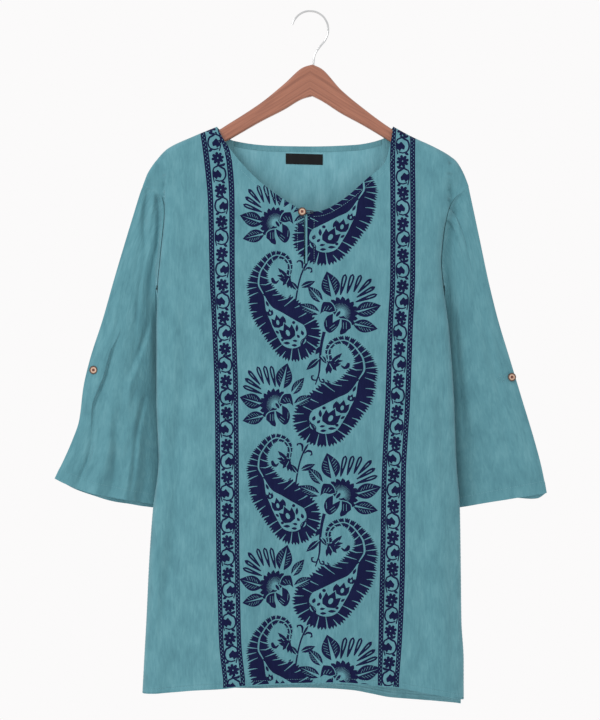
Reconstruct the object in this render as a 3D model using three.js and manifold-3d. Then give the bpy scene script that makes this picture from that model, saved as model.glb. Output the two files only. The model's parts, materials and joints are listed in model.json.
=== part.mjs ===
// A kurta on a clothes hanger: front, back and two sleeves of thin cloth, three buttons,
// a label, a contoured wooden hanger and its wire hook.
// Millimetres, +Z up, the front faces -Y. The origin is the inside top of the hook.
import * as THREE from 'three';
import { mergeVertices } from 'three/addons/utils/BufferGeometryUtils.js';
import Module from 'manifold-3d';

// ---------------------------------------------------------------- sizes

const WALL = 1.4; // cloth, with its crinkle and turned edges
const SEAM = 0.3; // gap between two pieces that are sewn together

const HANGER = {
  centre: 3.5, // x of the apex
  reach: 192, // from the centre to each tip
  thick: 12, // front to back
  bevel: 2.6,
  bow: 12, // how far forward the tips lie
};
const HOOK = { wire: 2.8, top: 1.4, socket: 14 };
const BUTTON_LIFT = 0.8; // from the cloth to the back of a sleeve button
const BUTTON = { radius: 5.9, thick: 2.4, rim: 1.3, dish: 0.7, hole: 0.75, spread: 1.5 };

const UNDERARM = -383; // z where side seam and armhole meet
const SHOULDER = -190; // mean z of the shoulder lines
const HALF_WIDTH = 215; // of the body at its sides
const SHOULDER_TIP = -245; // mean z of the two armhole tops
const VENT_TOP = -905; // the side seams end here
const HEM = -957; // mean z of the front hem
const ARM_DEPTH = 9.6; // how far the cloth stands off the hanger's middle plane
const SHOULDER_ROLL = 9; // height over which it rolls across the arm
const SEAM_Y = -14; // the side seams lie forward of the hanger's middle
const SIDE_ROUND = { front: 3.2, back: 2.3 }; // how squarely the panels turn at their sides
// Upright folds below the hanger's tips, inside which the cloth lies flat; they fade below low
const TIP_FOLD = { left: -203, right: 194, low: -300, high: -270 };
// Beyond the hanger's tips the cloth droops as a shallow cap
const CAP = { start: 196, end: 212, low: -262, high: -225, share: 0.5 };
const ARMHOLE = { front: 5, back: 17, wide: 60 }; // depth of its edges off the middle, and reach
const VENT_GAP = 3; // how far the back's side stands off the front's at the hem
const SLIT = { x: -7.7, top: -244, bottom: -354, wide: 1.6 };

// Side edges of the front, from the hem up: side seam, then armhole
const FRONT_SIDE = [
  { z: -963, left: -234, right: 214 },
  { z: -905, left: -231, right: 214 },
  { z: -851, left: -228, right: 211 },
  { z: -767, left: -224, right: 210 },
  { z: -697, left: -219, right: 209 },
  { z: -627, left: -211, right: 204 },
  { z: -543, left: -214, right: 201 },
  { z: -445, left: -214, right: 194 },
  { z: -383, left: -212, right: 186 },
  { z: -351, left: -209, right: 183 },
  { z: -312, left: -205, right: 186 },
  { z: -280, left: -202, right: 192 },
  { z: -262, left: -205, right: 201 },
  { z: -252, left: -216, right: 213 },
  { z: -245, left: -233, right: 221 },
];
// The back's armhole is shallower than the front's
const BACK_ARMHOLE = [
  { z: -383, left: -212, right: 186 },
  { z: -340, left: -214, right: 192 },
  { z: -300, left: -218, right: 201 },
  { z: -270, left: -224, right: 211 },
  { z: -245, left: -233, right: 221 },
];
// How far the cloth stands forward and back at the middle of each height
const DEPTH = [
  { z: -963, front: 38, back: 21 },
  { z: -800, front: 35, back: 19 },
  { z: -600, front: 31, back: 17 },
  { z: -450, front: 27, back: 14 },
  { z: -354, front: 21, back: 10 },
  { z: -282, front: 14, back: 6 },
  { z: -215, front: 5, back: 2 },
  { z: -160, front: 0, back: 0 },
];
// Shoulder lines, neck to armhole
const SHOULDER_LEFT = [
  { x: -130, z: -161 },
  { x: -165, z: -176 },
  { x: -199, z: -193 },
  { x: -214, z: -209 },
  { x: -226, z: -227 },
  { x: -233, z: -245 },
];
const SHOULDER_RIGHT = [
  { x: 116, z: -160.5 },
  { x: 140, z: -174 },
  { x: 179, z: -193 },
  { x: 203, z: -209 },
  { x: 214, z: -227 },
  { x: 221, z: -245 },
];
// Necklines, left to right
const FRONT_NECK = [
  { x: -130, z: -161 },
  { x: -119, z: -182 },
  { x: -76, z: -233 },
  { x: -28, z: -269 },
  { x: -3, z: -281 },
  { x: 13, z: -280 },
  { x: 42, z: -266 },
  { x: 81, z: -233 },
  { x: 104, z: -212 },
  { x: 112, z: -185 },
  { x: 116, z: -160.5 },
];
const BACK_NECK = [
  { x: -130, z: -161 },
  { x: -109, z: -179 },
  { x: -56, z: -186 },
  { x: 3, z: -187 },
  { x: 62, z: -185 },
  { x: 104, z: -176 },
  { x: 116, z: -160.5 },
];
// Hems, left to right
const FRONT_HEM = [
  { x: -234, z: -954 },
  { x: -174, z: -949 },
  { x: -120, z: -945.5 },
  { x: -60, z: -945 },
  { x: 10, z: -941 },
  { x: 42, z: -939 },
  { x: 98, z: -944 },
  { x: 162, z: -955 },
  { x: 214, z: -962 },
];
const BACK_HEM = [
  { x: -234, z: -953 },
  { x: -100, z: -945 },
  { x: 0, z: -949 },
  { x: 76, z: -952 },
  { x: 115, z: -960 },
  { x: 214, z: -966 },
];
// Soft vertical folds of the front and back: middle x, width, depth and the height where each starts
const FRONT_FOLDS = [
  { x: -196, width: 26, deep: 7, from: -560 },
  { x: -108, width: 46, deep: -5, from: -420 },
  { x: -28, width: 42, deep: 9, from: -520 },
  { x: 52, width: 48, deep: -6, from: -480 },
  { x: 118, width: 36, deep: 7, from: -560 },
  { x: 176, width: 30, deep: -4, from: -420 },
];
const BACK_FOLDS = [
  { x: -150, width: 44, deep: 6, from: -520 },
  { x: -70, width: 40, deep: -6, from: -430 },
  { x: 14, width: 46, deep: 7, from: -560 },
  { x: 92, width: 40, deep: -5, from: -470 },
  { x: 158, width: 34, deep: 5, from: -540 },
];

// Sleeves. outer: the fold that shows against the wall. inner: the underarm seam, behind the body.
const SLEEVE_LEFT = {
  edge: 'left',
  outer: [
    { x: -233, y: -13, z: -245 },
    { x: -241, y: -12, z: -263 },
    { x: -250, y: -9, z: -294 },
    { x: -274, y: -5, z: -375 },
    { x: -290, y: -4, z: -431 },
    { x: -308, y: -3, z: -487 },
    { x: -317, y: -2, z: -525 },
    { x: -323, y: -1, z: -571 },
    { x: -333, y: 0, z: -600 },
    { x: -357, y: 0, z: -653 },
  ],
  inner: [
    { x: -215, y: -12, z: -383 },
    { x: -216, y: -2, z: -396 },
    { x: -210, y: 9, z: -420 },
    { x: -196, y: 18, z: -480 },
    { x: -186, y: 20, z: -590 },
    { x: -181, y: 21, z: -698 },
  ],
  hemFront: [
    { w: 0, drop: 0 },
    { w: 0.25, drop: 2 },
    { w: 0.75, drop: 7 },
    { w: 0.93, drop: 3 },
    { w: 1, drop: 0 },
  ],
  hemBack: [
    { w: 0, drop: 0 },
    { w: 0.25, drop: 8 },
    { w: 0.6, drop: 13 },
    { w: 0.82, drop: 9 },
    { w: 1, drop: 0 },
  ],
  // ridges (+) and troughs (-) of the front layer: place across, width, depth, start along
  folds: [
    { w: 0.8, width: 0.07, deep: 3.5, from: 0.3 },
    { w: 0.68, width: 0.07, deep: -4, from: 0.55 },
    { w: 0.55, width: 0.07, deep: 3.5, from: 0.5 },
    { w: 0.43, width: 0.06, deep: -4, from: 0.42 },
    { w: 0.32, width: 0.06, deep: 3, from: 0.55 },
  ],
};
const SLEEVE_RIGHT = {
  edge: 'right',
  outer: [
    { x: 221, y: -13, z: -245 },
    { x: 225, y: -12, z: -264 },
    { x: 237, y: -8, z: -319 },
    { x: 249, y: -5, z: -375 },
    { x: 263, y: -3, z: -431 },
    { x: 280, y: -2, z: -487 },
    { x: 297, y: -1, z: -543 },
    { x: 314, y: 0, z: -599 },
    { x: 325, y: 0, z: -641 },
    { x: 331, y: 0, z: -673 },
  ],
  inner: [
    { x: 189, y: -12, z: -383 },
    { x: 193, y: -2, z: -396 },
    { x: 190, y: 9, z: -420 },
    { x: 179, y: 19, z: -480 },
    { x: 171, y: 22, z: -590 },
    { x: 168, y: 24, z: -702 },
  ],
  hemFront: [
    { w: 0, drop: 0 },
    { w: 0.5, drop: -1 },
    { w: 1, drop: 0 },
  ],
  hemBack: [
    { w: 0, drop: 0 },
    { w: 0.6, drop: -4 },
    { w: 0.93, drop: 6 },
    { w: 1, drop: 0 },
  ],
  folds: [
    { w: 0.3, width: 0.08, deep: -3, from: 0.35 },
    { w: 0.5, width: 0.12, deep: 2.5, from: 0.4 },
  ],
};

// Hanger outline: height of its upper and lower edge at each distance from the centre
const HANGER_LEFT = [
  { d: 0, top: -73.5, low: -118 },
  { d: 12, top: -77, low: -121 },
  { d: 40, top: -101, low: -137 },
  { d: 71, top: -126.5, low: -153 },
  { d: 118, top: -157.5, low: -180 },
  { d: 134, top: -167.2, low: -188 },
  { d: 150, top: -172, low: -194 },
  { d: 184, top: -189, low: -209 },
];
const HANGER_RIGHT = [
  { d: 0, top: -73.5, low: -118 },
  { d: 12, top: -79, low: -124 },
  { d: 40, top: -109, low: -142 },
  { d: 71, top: -135, low: -159 },
  { d: 112, top: -165, low: -184 },
  { d: 136, top: -178.5, low: -199 },
  { d: 184, top: -202.5, low: -222 },
];
// Centreline of the hook, from its tip over the top and down into the hanger
const HOOK_PATH = [
  { x: -25, z: -17.5 },
  { x: -21.5, z: -10.5 },
  { x: -12, z: -1.5 },
  { x: 0, z: HOOK.top },
  { x: 13, z: -2 },
  { x: 22.5, z: -12 },
  { x: 25.5, z: -25 },
  { x: 22, z: -38 },
  { x: 13.5, z: -49 },
  { x: 7, z: -59 },
  { x: 5, z: -70 },
];

const LABEL = { x: -8, z: -205, wide: 52, tall: 15, thick: 0.7, tilt: -0.027 };
const BINDING = { tall: 7.5, thick: 0.9, left: -106, right: 100 };
const SLEEVE_BUTTON_LEFT = { x: -302, z: -501 };
const SLEEVE_BUTTON_RIGHT = { x: 281, z: -510 };
const NECK_BUTTON = { x: -11, z: -281 };

const CLOTH = new THREE.MeshStandardMaterial({ color: '#67a0aa', roughness: 0.9 });
const WOOD = new THREE.MeshStandardMaterial({ color: '#a8623f', roughness: 0.45 });
const STEEL = new THREE.MeshStandardMaterial({ color: '#d4d6d8', roughness: 0.3, metalness: 1 });
const SHELL = new THREE.MeshStandardMaterial({ color: '#c79a72', roughness: 0.5 });
const DARK = new THREE.MeshStandardMaterial({ color: '#17171d', roughness: 0.8 });

// ---------------------------------------------------------------- curves

const lerp = (a, b, f) => a + (b - a) * f;
const clamp = (f) => Math.min(1, Math.max(0, f));
const smooth = (a, b, f) => {
  const q = clamp((f - a) / (b - a));
  return q * q * (3 - 2 * q);
};

// A monotone cubic through the rows of a table, as a function of one of its columns
function curve(rows, along, of) {
  const table = [...rows].sort((a, b) => a[along] - b[along]);
  const at = table.map((row) => row[along]);
  const value = table.map((row) => row[of]);
  const rise = at.slice(1).map((a, i) => (value[i + 1] - value[i]) / (a - at[i]));
  const slope = at.map((_, i) => {
    if (i === 0) return rise[0];
    if (i === at.length - 1) return rise[i - 1];
    return rise[i - 1] * rise[i] <= 0 ? 0 : (2 * rise[i - 1] * rise[i]) / (rise[i - 1] + rise[i]);
  });
  return (x) => {
    let i = 0;
    while (i < at.length - 2 && x > at[i + 1]) i += 1;
    const wide = at[i + 1] - at[i];
    const q = clamp((x - at[i]) / wide);
    const bend = q * q * (3 - 2 * q);
    const start = q * (1 - q) * (1 - q) * wide * slope[i];
    const stop = q * q * (q - 1) * wide * slope[i + 1];
    return lerp(value[i], value[i + 1], bend) + start + stop;
  };
}

// A curve through the points of a table, by the share 0..1 of its length
function trace(points) {
  let run = 0;
  const rows = points.map((p, i) => {
    const q = points[Math.max(0, i - 1)];
    run += Math.hypot(p.x - q.x, p.z - q.z);
    return { x: p.x, y: p.y ?? 0, z: p.z, run };
  });
  const x = curve(rows, 'run', 'x');
  const y = curve(rows, 'run', 'y');
  const z = curve(rows, 'run', 'z');
  return (share) => ({ x: x(share * run), y: y(share * run), z: z(share * run) });
}

const across = (count) => Array.from({ length: count + 1 }, (_, i) => i / count);

// ---------------------------------------------------------------- drape of the body

const bow = (x) => -HANGER.bow * ((x - HANGER.centre) / HANGER.reach) ** 2;
const shoulderLeft = curve(SHOULDER_LEFT, 'x', 'z');
const shoulderRight = curve(SHOULDER_RIGHT, 'x', 'z');
const frontDepth = curve(DEPTH, 'z', 'front');
const backDepth = curve(DEPTH, 'z', 'back');
const edgeLeft = curve(FRONT_SIDE, 'z', 'left');
const edgeRight = curve(FRONT_SIDE, 'z', 'right');
const rearLeft = curve(BACK_ARMHOLE, 'z', 'left');
const rearRight = curve(BACK_ARMHOLE, 'z', 'right');

// 0 at the shoulder line, 1 where the cloth has rolled over the hanger's arm
function roll(x, z) {
  const line = x < 0 ? shoulderLeft(x) : shoulderRight(x);
  const under = clamp((line - z) / SHOULDER_ROLL);
  return Math.sqrt(1 - (1 - under) ** 2);
}

// 1 over the flat of the body, 0 where its sides turn back
function flatness(x, z, sharp) {
  const up = smooth(TIP_FOLD.low, TIP_FOLD.high, z);
  const low = lerp(edgeLeft(z), TIP_FOLD.left, up);
  const high = lerp(edgeRight(z), TIP_FOLD.right, up);
  const middle = (low + high) / 2;
  const out = clamp(Math.abs(x - middle) / ((high - low) / 2));
  return (1 - out ** sharp) ** (1 / sharp);
}

function folds(rows, x, z) {
  return rows.reduce((sum, fold) => {
    const off = (x - fold.x) / fold.width;
    return sum + fold.deep * Math.exp(-off * off) * smooth(fold.from, HEM, z);
  }, 0);
}

// The middle sheet that both panels leave from at their edges
function middleY(x, z) {
  const low = SEAM_Y * clamp(Math.abs(x - HANGER.centre) / HALF_WIDTH) ** 6;
  return lerp(low, bow(x), smooth(UNDERARM, SHOULDER, z));
}

// How far the cloth stands off the middle sheet where it hangs over the hanger's arm
function overArm(x, z, flat) {
  const cap = lerp(1, CAP.share, smooth(CAP.start, CAP.end, Math.abs(x)));
  return ARM_DEPTH * roll(x, z) * lerp(flat, cap, smooth(CAP.low, CAP.high, z));
}

// 1 at the middle of the armhole's edge, 0 at its two ends and well inside the panel
function armhole(x, z, left, right) {
  const up = clamp((z - UNDERARM) / (SHOULDER_TIP - UNDERARM));
  const inside = x < 0 ? x - left(z) : right(z) - x;
  return Math.sin(Math.PI * up) ** 0.7 * (1 - smooth(0, ARMHOLE.wide, inside));
}

function frontY(x, z) {
  const flat = flatness(x, z, SIDE_ROUND.front);
  const open = ARMHOLE.front * armhole(x, z, edgeLeft, edgeRight);
  const stand = overArm(x, z, flat) + frontDepth(z) * flat + open;
  return middleY(x, z) - SEAM / 2 - stand + folds(FRONT_FOLDS, x, z) * flat;
}

function backY(x, z) {
  const flat = flatness(x, z, SIDE_ROUND.back);
  const open = ARMHOLE.back * armhole(x, z, rearLeft, rearRight);
  const stand = overArm(x, z, flat) + backDepth(z) * flat + open;
  return middleY(x, z) + SEAM / 2 + stand + folds(BACK_FOLDS, x, z) * flat;
}

// ---------------------------------------------------------------- solids from grids

// A closed solid between two grids of points, outer[row][column] and inner[row][column]
function slab(outer, inner, closed = false) {
  const rows = outer.length;
  const columns = outer[0].length;
  const points = [...outer.flat(), ...inner.flat()];
  const index = (side, i, j) => side * rows * columns + i * columns + (j % columns);
  const faces = [];
  const quad = (a, b, c, d) => faces.push(a, b, c, a, c, d);
  const last = closed ? columns : columns - 1;
  for (let i = 0; i < rows - 1; i += 1) {
    for (let j = 0; j < last; j += 1) {
      quad(index(0, i, j), index(0, i, j + 1), index(0, i + 1, j + 1), index(0, i + 1, j));
      quad(index(1, i, j), index(1, i + 1, j), index(1, i + 1, j + 1), index(1, i, j + 1));
    }
  }
  for (let j = 0; j < last; j += 1) {
    quad(index(0, 0, j), index(1, 0, j), index(1, 0, j + 1), index(0, 0, j + 1));
    quad(index(0, rows - 1, j), index(0, rows - 1, j + 1), index(1, rows - 1, j + 1), index(1, rows - 1, j));
  }
  for (let i = 0; i < rows - 1 && !closed; i += 1) {
    const j = columns - 1;
    quad(index(0, i, 0), index(0, i + 1, 0), index(1, i + 1, 0), index(1, i, 0));
    quad(index(0, i, j), index(1, i, j), index(1, i + 1, j), index(0, i + 1, j));
  }
  return facesOut(points, faces);
}

// The geometry, turned so that its faces point out
function facesOut(points, faces) {
  const geometry = new THREE.BufferGeometry().setFromPoints(points);
  const volume = new THREE.Vector3();
  let sum = 0;
  for (let i = 0; i < faces.length; i += 3) {
    const [a, b, c] = [points[faces[i]], points[faces[i + 1]], points[faces[i + 2]]];
    sum += a.dot(volume.crossVectors(b, c));
  }
  if (sum < 0) {
    for (let i = 0; i < faces.length; i += 3) {
      [faces[i + 1], faces[i + 2]] = [faces[i + 2], faces[i + 1]];
    }
  }
  geometry.setIndex(faces);
  return geometry;
}

// The grid moved by a distance along its own normals; inward is the side that the sign picks
function offset(grid, distance, closed = false) {
  const rows = grid.length;
  const columns = grid[0].length;
  return grid.map((row, i) =>
    row.map((point, j) => {
      const up = grid[Math.min(rows - 1, i + 1)][j].clone().sub(grid[Math.max(0, i - 1)][j]);
      const next = closed ? (j + 1) % columns : Math.min(columns - 1, j + 1);
      const before = closed ? (j + columns - 1) % columns : Math.max(0, j - 1);
      const along = grid[i][next].clone().sub(grid[i][before]);
      const normal = along.cross(up).normalize();
      return point.clone().addScaledVector(normal, distance);
    }),
  );
}

// ---------------------------------------------------------------- body panels

// Shares up the panel: few on the plain body, more at the armhole and over the shoulder
const RISE = [
  ...across(11).map((f) => 0.79 * f),
  0.83, 0.865, 0.895, 0.92, 0.945, 0.965, 0.98, 0.988, 0.993, 0.997, 0.999, 1,
];
const NECK_SHARE = 0.54; // the neck takes this share of the half width
const SHARES_OUT = [0.63, 0.72, 0.8, 0.87, 0.93, 0.97, 0.99, 1];
// Columns of half the neck, close together where it leaves the shoulder
const NECK_HALF = [0, 0.12, 0.25, 0.38, 0.51, 0.64, 0.76, 0.87, 0.94, 0.975, 1];
const HALF = [...NECK_HALF.map((f) => f * NECK_SHARE), ...SHARES_OUT];
const SHARES = [...HALF.slice(1).map((f) => -f).reverse(), ...HALF];

// Places in front view, by share across (-1..1) and share up (0..1), between the four edges
function panelMap(sideLeft, sideRight, hem, neck, tuck) {
  const neckLine = trace(neck);
  const shoulderL = trace(SHOULDER_LEFT);
  const shoulderR = trace(SHOULDER_RIGHT);
  const top = (t) => {
    const out = (Math.abs(t) - NECK_SHARE) / (1 - NECK_SHARE);
    if (out <= 0) return neckLine((t / NECK_SHARE + 1) / 2);
    return t < 0 ? shoulderL(out) : shoulderR(out);
  };
  const hemZ = curve(hem, 'x', 'z');
  const hemLeft = hem[0].x + tuck;
  const hemRight = hem[hem.length - 1].x - tuck;
  const bottom = (t) => {
    const x = lerp(hemLeft, hemRight, (t + 1) / 2);
    return { x, z: hemZ(x) };
  };
  const side = (edge, t, v) => {
    const z = lerp(bottom(t).z, top(t).z, v);
    return { x: edge(z) - Math.sign(t) * tuck * (1 - smooth(HEM, VENT_TOP, z)), z };
  };
  const corner = { ll: bottom(-1), lr: bottom(1), ul: top(-1), ur: top(1) };
  return (t, v) => {
    const f = (t + 1) / 2;
    const blend = (key) =>
      lerp(bottom(t)[key], top(t)[key], v) +
      lerp(side(sideLeft, -1, v)[key], side(sideRight, 1, v)[key], f) -
      lerp(
        lerp(corner.ll[key], corner.lr[key], f),
        lerp(corner.ul[key], corner.ur[key], f),
        v,
      );
    return { x: blend('x'), z: blend('z') };
  };
}

const frontMap = panelMap(edgeLeft, edgeRight, FRONT_HEM, FRONT_NECK, 0);
const backEdgeLeft = (z) => (z > UNDERARM ? rearLeft(z) : edgeLeft(z));
const backEdgeRight = (z) => (z > UNDERARM ? rearRight(z) : edgeRight(z));
const backMap = panelMap(backEdgeLeft, backEdgeRight, BACK_HEM, BACK_NECK, VENT_GAP);

const frontPoint = (t, v) => {
  const { x, z } = frontMap(t, v);
  return new THREE.Vector3(x, frontY(x, z), z);
};
const backPoint = (t, v) => {
  const { x, z } = backMap(t, v);
  const vent = VENT_GAP * (1 - smooth(HEM, VENT_TOP, z)) * smooth(0.9, 1, Math.abs(t));
  return new THREE.Vector3(x, backY(x, z) + vent, z);
};

// The point, kept on its own side of the middle sheet; side is -1 in front and 1 behind
function keepSide(p, side) {
  const limit = middleY(p.x, p.z) + (side * SEAM) / 2;
  return new THREE.Vector3(p.x, side < 0 ? Math.min(p.y, limit) : Math.max(p.y, limit), p.z);
}

function makeFront(solid) {
  const outer = RISE.map((v) => SHARES.map((t) => frontPoint(t, v)));
  const inner = offset(outer, -WALL).map((row) => row.map((p) => keepSide(p, -1)));
  const cloth = slab(outer, inner);
  const cutter = new THREE.BoxGeometry(SLIT.wide, 4 * frontDepth(SLIT.bottom), SLIT.top - SLIT.bottom);
  cutter.translate(SLIT.x, -frontDepth(SLIT.bottom), (SLIT.top + SLIT.bottom) / 2);
  return solid.cut(cloth, cutter);
}

function makeBack() {
  const outer = RISE.map((v) => SHARES.map((t) => backPoint(t, v)));
  return slab(outer, offset(outer, WALL).map((row) => row.map((p) => keepSide(p, 1))));
}

// ---------------------------------------------------------------- sleeves

const SLEEVE_RINGS = 16;
const SLEEVE_SIDES = 28;
const SLEEVE_DEPTH = 15; // half of its thickness at the middle
const CAP_BLEND = 0.3; // the share along the sleeve over which its ring leaves the armhole's shape

// A point of the sleeve, along 0..1 from armhole to hem, around 0..1 from the underarm
// over the front layer to the outer fold and back over the back layer
function sleevePoint(sleeve, outer, inner, drops, along, around) {
  const angle = 2 * Math.PI * around;
  const w = (1 - Math.cos(angle)) / 2;
  const front = around <= 0.5;
  const o = outer(along);
  const i = inner(along);
  const behind = front ? lerp(0.4, 1, smooth(0, 0.5, w)) : 1;
  const round = Math.abs(Math.sin(angle));
  const lens = (0.25 * round ** 0.35 + 0.75 * round * round) * behind;
  const puff = SLEEVE_DEPTH * lerp(0.5, 1, smooth(0, 0.5, along)) * lens;
  const ripple = front
    ? sleeve.folds.reduce((sum, fold) => {
        const off = (w - fold.w) / fold.width;
        return sum + fold.deep * Math.exp(-off * off) * smooth(fold.from, 1, along);
      }, 0)
    : 0;
  const drop = (front ? drops.front(w) : drops.back(w)) * smooth(0.75, 1, along);
  const x = lerp(i.x, o.x, w);
  const y = lerp(i.y, o.y, w) + (front ? -puff - ripple : puff);
  const z = lerp(i.z, o.z, w) - drop;
  const fade = (1 - clamp(along / CAP_BLEND)) ** 2;
  const rimZ = lerp(UNDERARM, SHOULDER_TIP, w);
  const left = sleeve.edge === 'left';
  const rimX = front ? (left ? edgeLeft : edgeRight)(rimZ) : (left ? rearLeft : rearRight)(rimZ);
  const apart = (WALL + SEAM) * (left ? -1 : 1);
  const rimY = front ? frontY(rimX, rimZ) : backY(rimX, rimZ);
  return new THREE.Vector3(lerp(x, rimX + apart, fade), lerp(y, rimY, fade), lerp(z, rimZ, fade));
}

// The sleeve as a function of the shares along and around it
function sleeveParts(sleeve) {
  const outer = trace(sleeve.outer);
  const inner = trace(sleeve.inner);
  const drops = {
    front: curve(sleeve.hemFront, 'w', 'drop'),
    back: curve(sleeve.hemBack, 'w', 'drop'),
  };
  return (along, around) => sleevePoint(sleeve, outer, inner, drops, along, around);
}

function makeSleeve(place, inward) {
  const rings = across(SLEEVE_RINGS).map((along) =>
    across(SLEEVE_SIDES)
      .slice(0, -1)
      .map((around) => place(along, around)),
  );
  return slab(rings, offset(rings, inward, true), true);
}

// The spot of a sleeve's front layer nearest to a place in front view, and the way it faces
function sleeveSpot(place, target) {
  let best = { gap: Infinity };
  for (const along of across(150)) {
    for (const around of across(150).map((f) => 0.3 + 0.2 * f)) {
      const point = place(along, around);
      const gap = Math.hypot(point.x - target.x, point.z - target.z);
      if (gap < best.gap) best = { gap, along, around, point };
    }
  }
  const { along, around, point } = best;
  const down = place(along + 0.02, around).sub(place(along - 0.02, around));
  const out = place(along, around + 0.012).sub(place(along, around - 0.012));
  const normal = down.cross(out).normalize();
  return { point, normal: normal.y < 0 ? normal : normal.negate() };
}

const SEW = { left: sleeveParts(SLEEVE_LEFT), right: sleeveParts(SLEEVE_RIGHT) };

// ---------------------------------------------------------------- trim

// A thin plate on a cloth face: place(across, up) gives its near face, and it is thick along y
function plate(columns, rows, thick, place) {
  const near = across(rows).map((v) => across(columns).map((u) => place(u, v)));
  const far = near.map((row) => row.map((p) => new THREE.Vector3(p.x, p.y - thick, p.z)));
  return slab(far, near);
}

const insideBack = (x, z) => backY(x, z) - WALL - SEAM - 0.25;

function makeLabel() {
  return plate(6, 2, LABEL.thick, (u, v) => {
    const along = lerp(-LABEL.wide / 2, LABEL.wide / 2, u);
    const up = lerp(-LABEL.tall / 2, LABEL.tall / 2, v);
    const x = LABEL.x + along;
    const z = LABEL.z + up + LABEL.tilt * along;
    return new THREE.Vector3(x, insideBack(x, z), z);
  });
}

function makeBinding() {
  const neckZ = curve(BACK_NECK, 'x', 'z');
  return plate(24, 2, BINDING.thick, (u, v) => {
    const x = lerp(BINDING.left, BINDING.right, u);
    const z = neckZ(x) - 0.4 - BINDING.tall * (1 - v);
    return new THREE.Vector3(x, insideBack(x, z), z);
  });
}

function makeSlitStrip() {
  const top = -285;
  const left = SLIT.x + SLIT.wide / 2 + 0.4;
  return plate(2, 10, 0.9, (u, v) => {
    const x = lerp(left, left + 2.6, u);
    const z = lerp(SLIT.bottom + 1, top, v);
    return new THREE.Vector3(x, frontY(x, z) - SEAM - 0.1, z);
  });
}

// A round button, its back at y = 0 and its face towards -Y, with a raised rim and four holes
function makeButton(solid) {
  const { radius, thick, rim, dish, hole, spread } = BUTTON;
  const profile = [
    [0, 0],
    [radius - 0.7, 0],
    [radius, 0.8],
    [radius, thick - 0.6],
    [radius - 0.5, thick],
    [radius - rim, thick],
    [radius - rim - 0.5, thick - dish],
    [0, thick - dish],
  ].map(([x, y]) => new THREE.Vector2(x, y));
  let button = new THREE.LatheGeometry(profile, 20);
  for (const [across_, up] of [[-1, -1], [1, -1], [-1, 1], [1, 1]]) {
    const bore = new THREE.CylinderGeometry(hole, hole, 3 * thick, 6);
    bore.translate(across_ * (spread / 2 + 0.35), thick / 2, up * (spread / 2 + 0.35));
    button = solid.cut(button, bore);
  }
  button.rotateX(Math.PI);
  return button;
}

// A cord loop: out from the right of the slit, round the button's shank and back
function makeLoop() {
  const y = frontY(0, -284) - 1.2;
  const path = new THREE.CatmullRomCurve3(
    [
      [4.5, 0.2, -280.6],
      [-3, 0, -279.6],
      [-13, 0, -279.8],
      [-15, 0, -281.5],
      [-13, 0, -283.2],
      [-3, 0, -283],
      [4.5, 0.2, -282.8],
    ].map(([x, out, z]) => new THREE.Vector3(x, y + out, z)),
  );
  return tube(path, 0.65, 22, 3);
}

function tube(path, radius, steps, sides) {
  const section = new THREE.Shape().absarc(0, 0, radius, 0, 2 * Math.PI);
  const geometry = new THREE.ExtrudeGeometry(section, {
    curveSegments: sides,
    steps,
    bevelEnabled: false,
    extrudePath: path,
  });
  return bare(geometry);
}

// ---------------------------------------------------------------- hanger and hook

function makeHanger(solid) {
  const edge = (rows, key) => curve(rows, 'd', key);
  const sides = [
    { sign: -1, top: edge(HANGER_LEFT, 'top'), low: edge(HANGER_LEFT, 'low') },
    { sign: 1, top: edge(HANGER_RIGHT, 'top'), low: edge(HANGER_RIGHT, 'low') },
  ];
  const inset = HANGER.bevel;
  const reach = HANGER.reach - 8;
  const steps = across(12).map((f) => reach * f);
  const upper = (s) => steps.map((d) => [s.sign * d, s.top(d) - inset]);
  const lower = (s) => steps.map((d) => [s.sign * d, s.low(d) + inset]);
  const tip = (s) => {
    const high = s.top(reach) - inset;
    const low = s.low(reach) + inset;
    const middle = (high + low) / 2;
    return [60, 20, -20, -60].map((degrees) => {
      const turn = (degrees * Math.PI) / 180;
      return [s.sign * (reach + 5.5 * Math.cos(turn)), middle + ((high - low) / 2) * Math.sin(turn)];
    });
  };
  const [left, right] = sides;
  const outline = [
    ...upper(right),
    ...tip(right),
    ...lower(right).reverse(),
    ...lower(left).slice(1),
    ...tip(left).reverse(),
    ...upper(left).slice(1).reverse(),
  ];
  const shape = new THREE.Shape(outline.map(([x, z]) => new THREE.Vector2(x, z)));
  const geometry = new THREE.ExtrudeGeometry(shape, {
    depth: HANGER.thick - 2 * inset,
    bevelThickness: inset,
    bevelSize: inset,
    bevelSegments: 2,
    curveSegments: 6,
  });
  geometry.translate(HANGER.centre, 0, -HANGER.thick / 2 + inset);
  geometry.rotateX(Math.PI / 2);
  const place = geometry.attributes.position;
  for (let i = 0; i < place.count; i += 1) {
    place.setY(i, place.getY(i) + bow(place.getX(i)));
  }
  const socket = new THREE.CylinderGeometry(HOOK.wire / 2 + 0.3, HOOK.wire / 2 + 0.3, 60, 14);
  socket.rotateX(Math.PI / 2);
  const end = HOOK_PATH[HOOK_PATH.length - 1];
  socket.translate(end.x, 0, end.z - HOOK.socket + 30 - 0.3);
  return solid.cut(bare(geometry), socket);
}

function makeHook() {
  const end = HOOK_PATH[HOOK_PATH.length - 1];
  const down = [
    { x: end.x, z: end.z - HOOK.socket / 2 },
    { x: end.x, z: end.z - HOOK.socket },
  ];
  const path = new THREE.CatmullRomCurve3(
    [...HOOK_PATH, ...down].map((p) => new THREE.Vector3(p.x, 0, p.z)),
    false,
    'centripetal',
  );
  return tube(path, HOOK.wire / 2, 44, 4);
}

// ---------------------------------------------------------------- booleans

// The geometry with its corners shared and nothing but places
function bare(geometry) {
  const plain = geometry.clone();
  plain.deleteAttribute('normal');
  plain.deleteAttribute('uv');
  return mergeVertices(plain, 1e-3);
}

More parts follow.
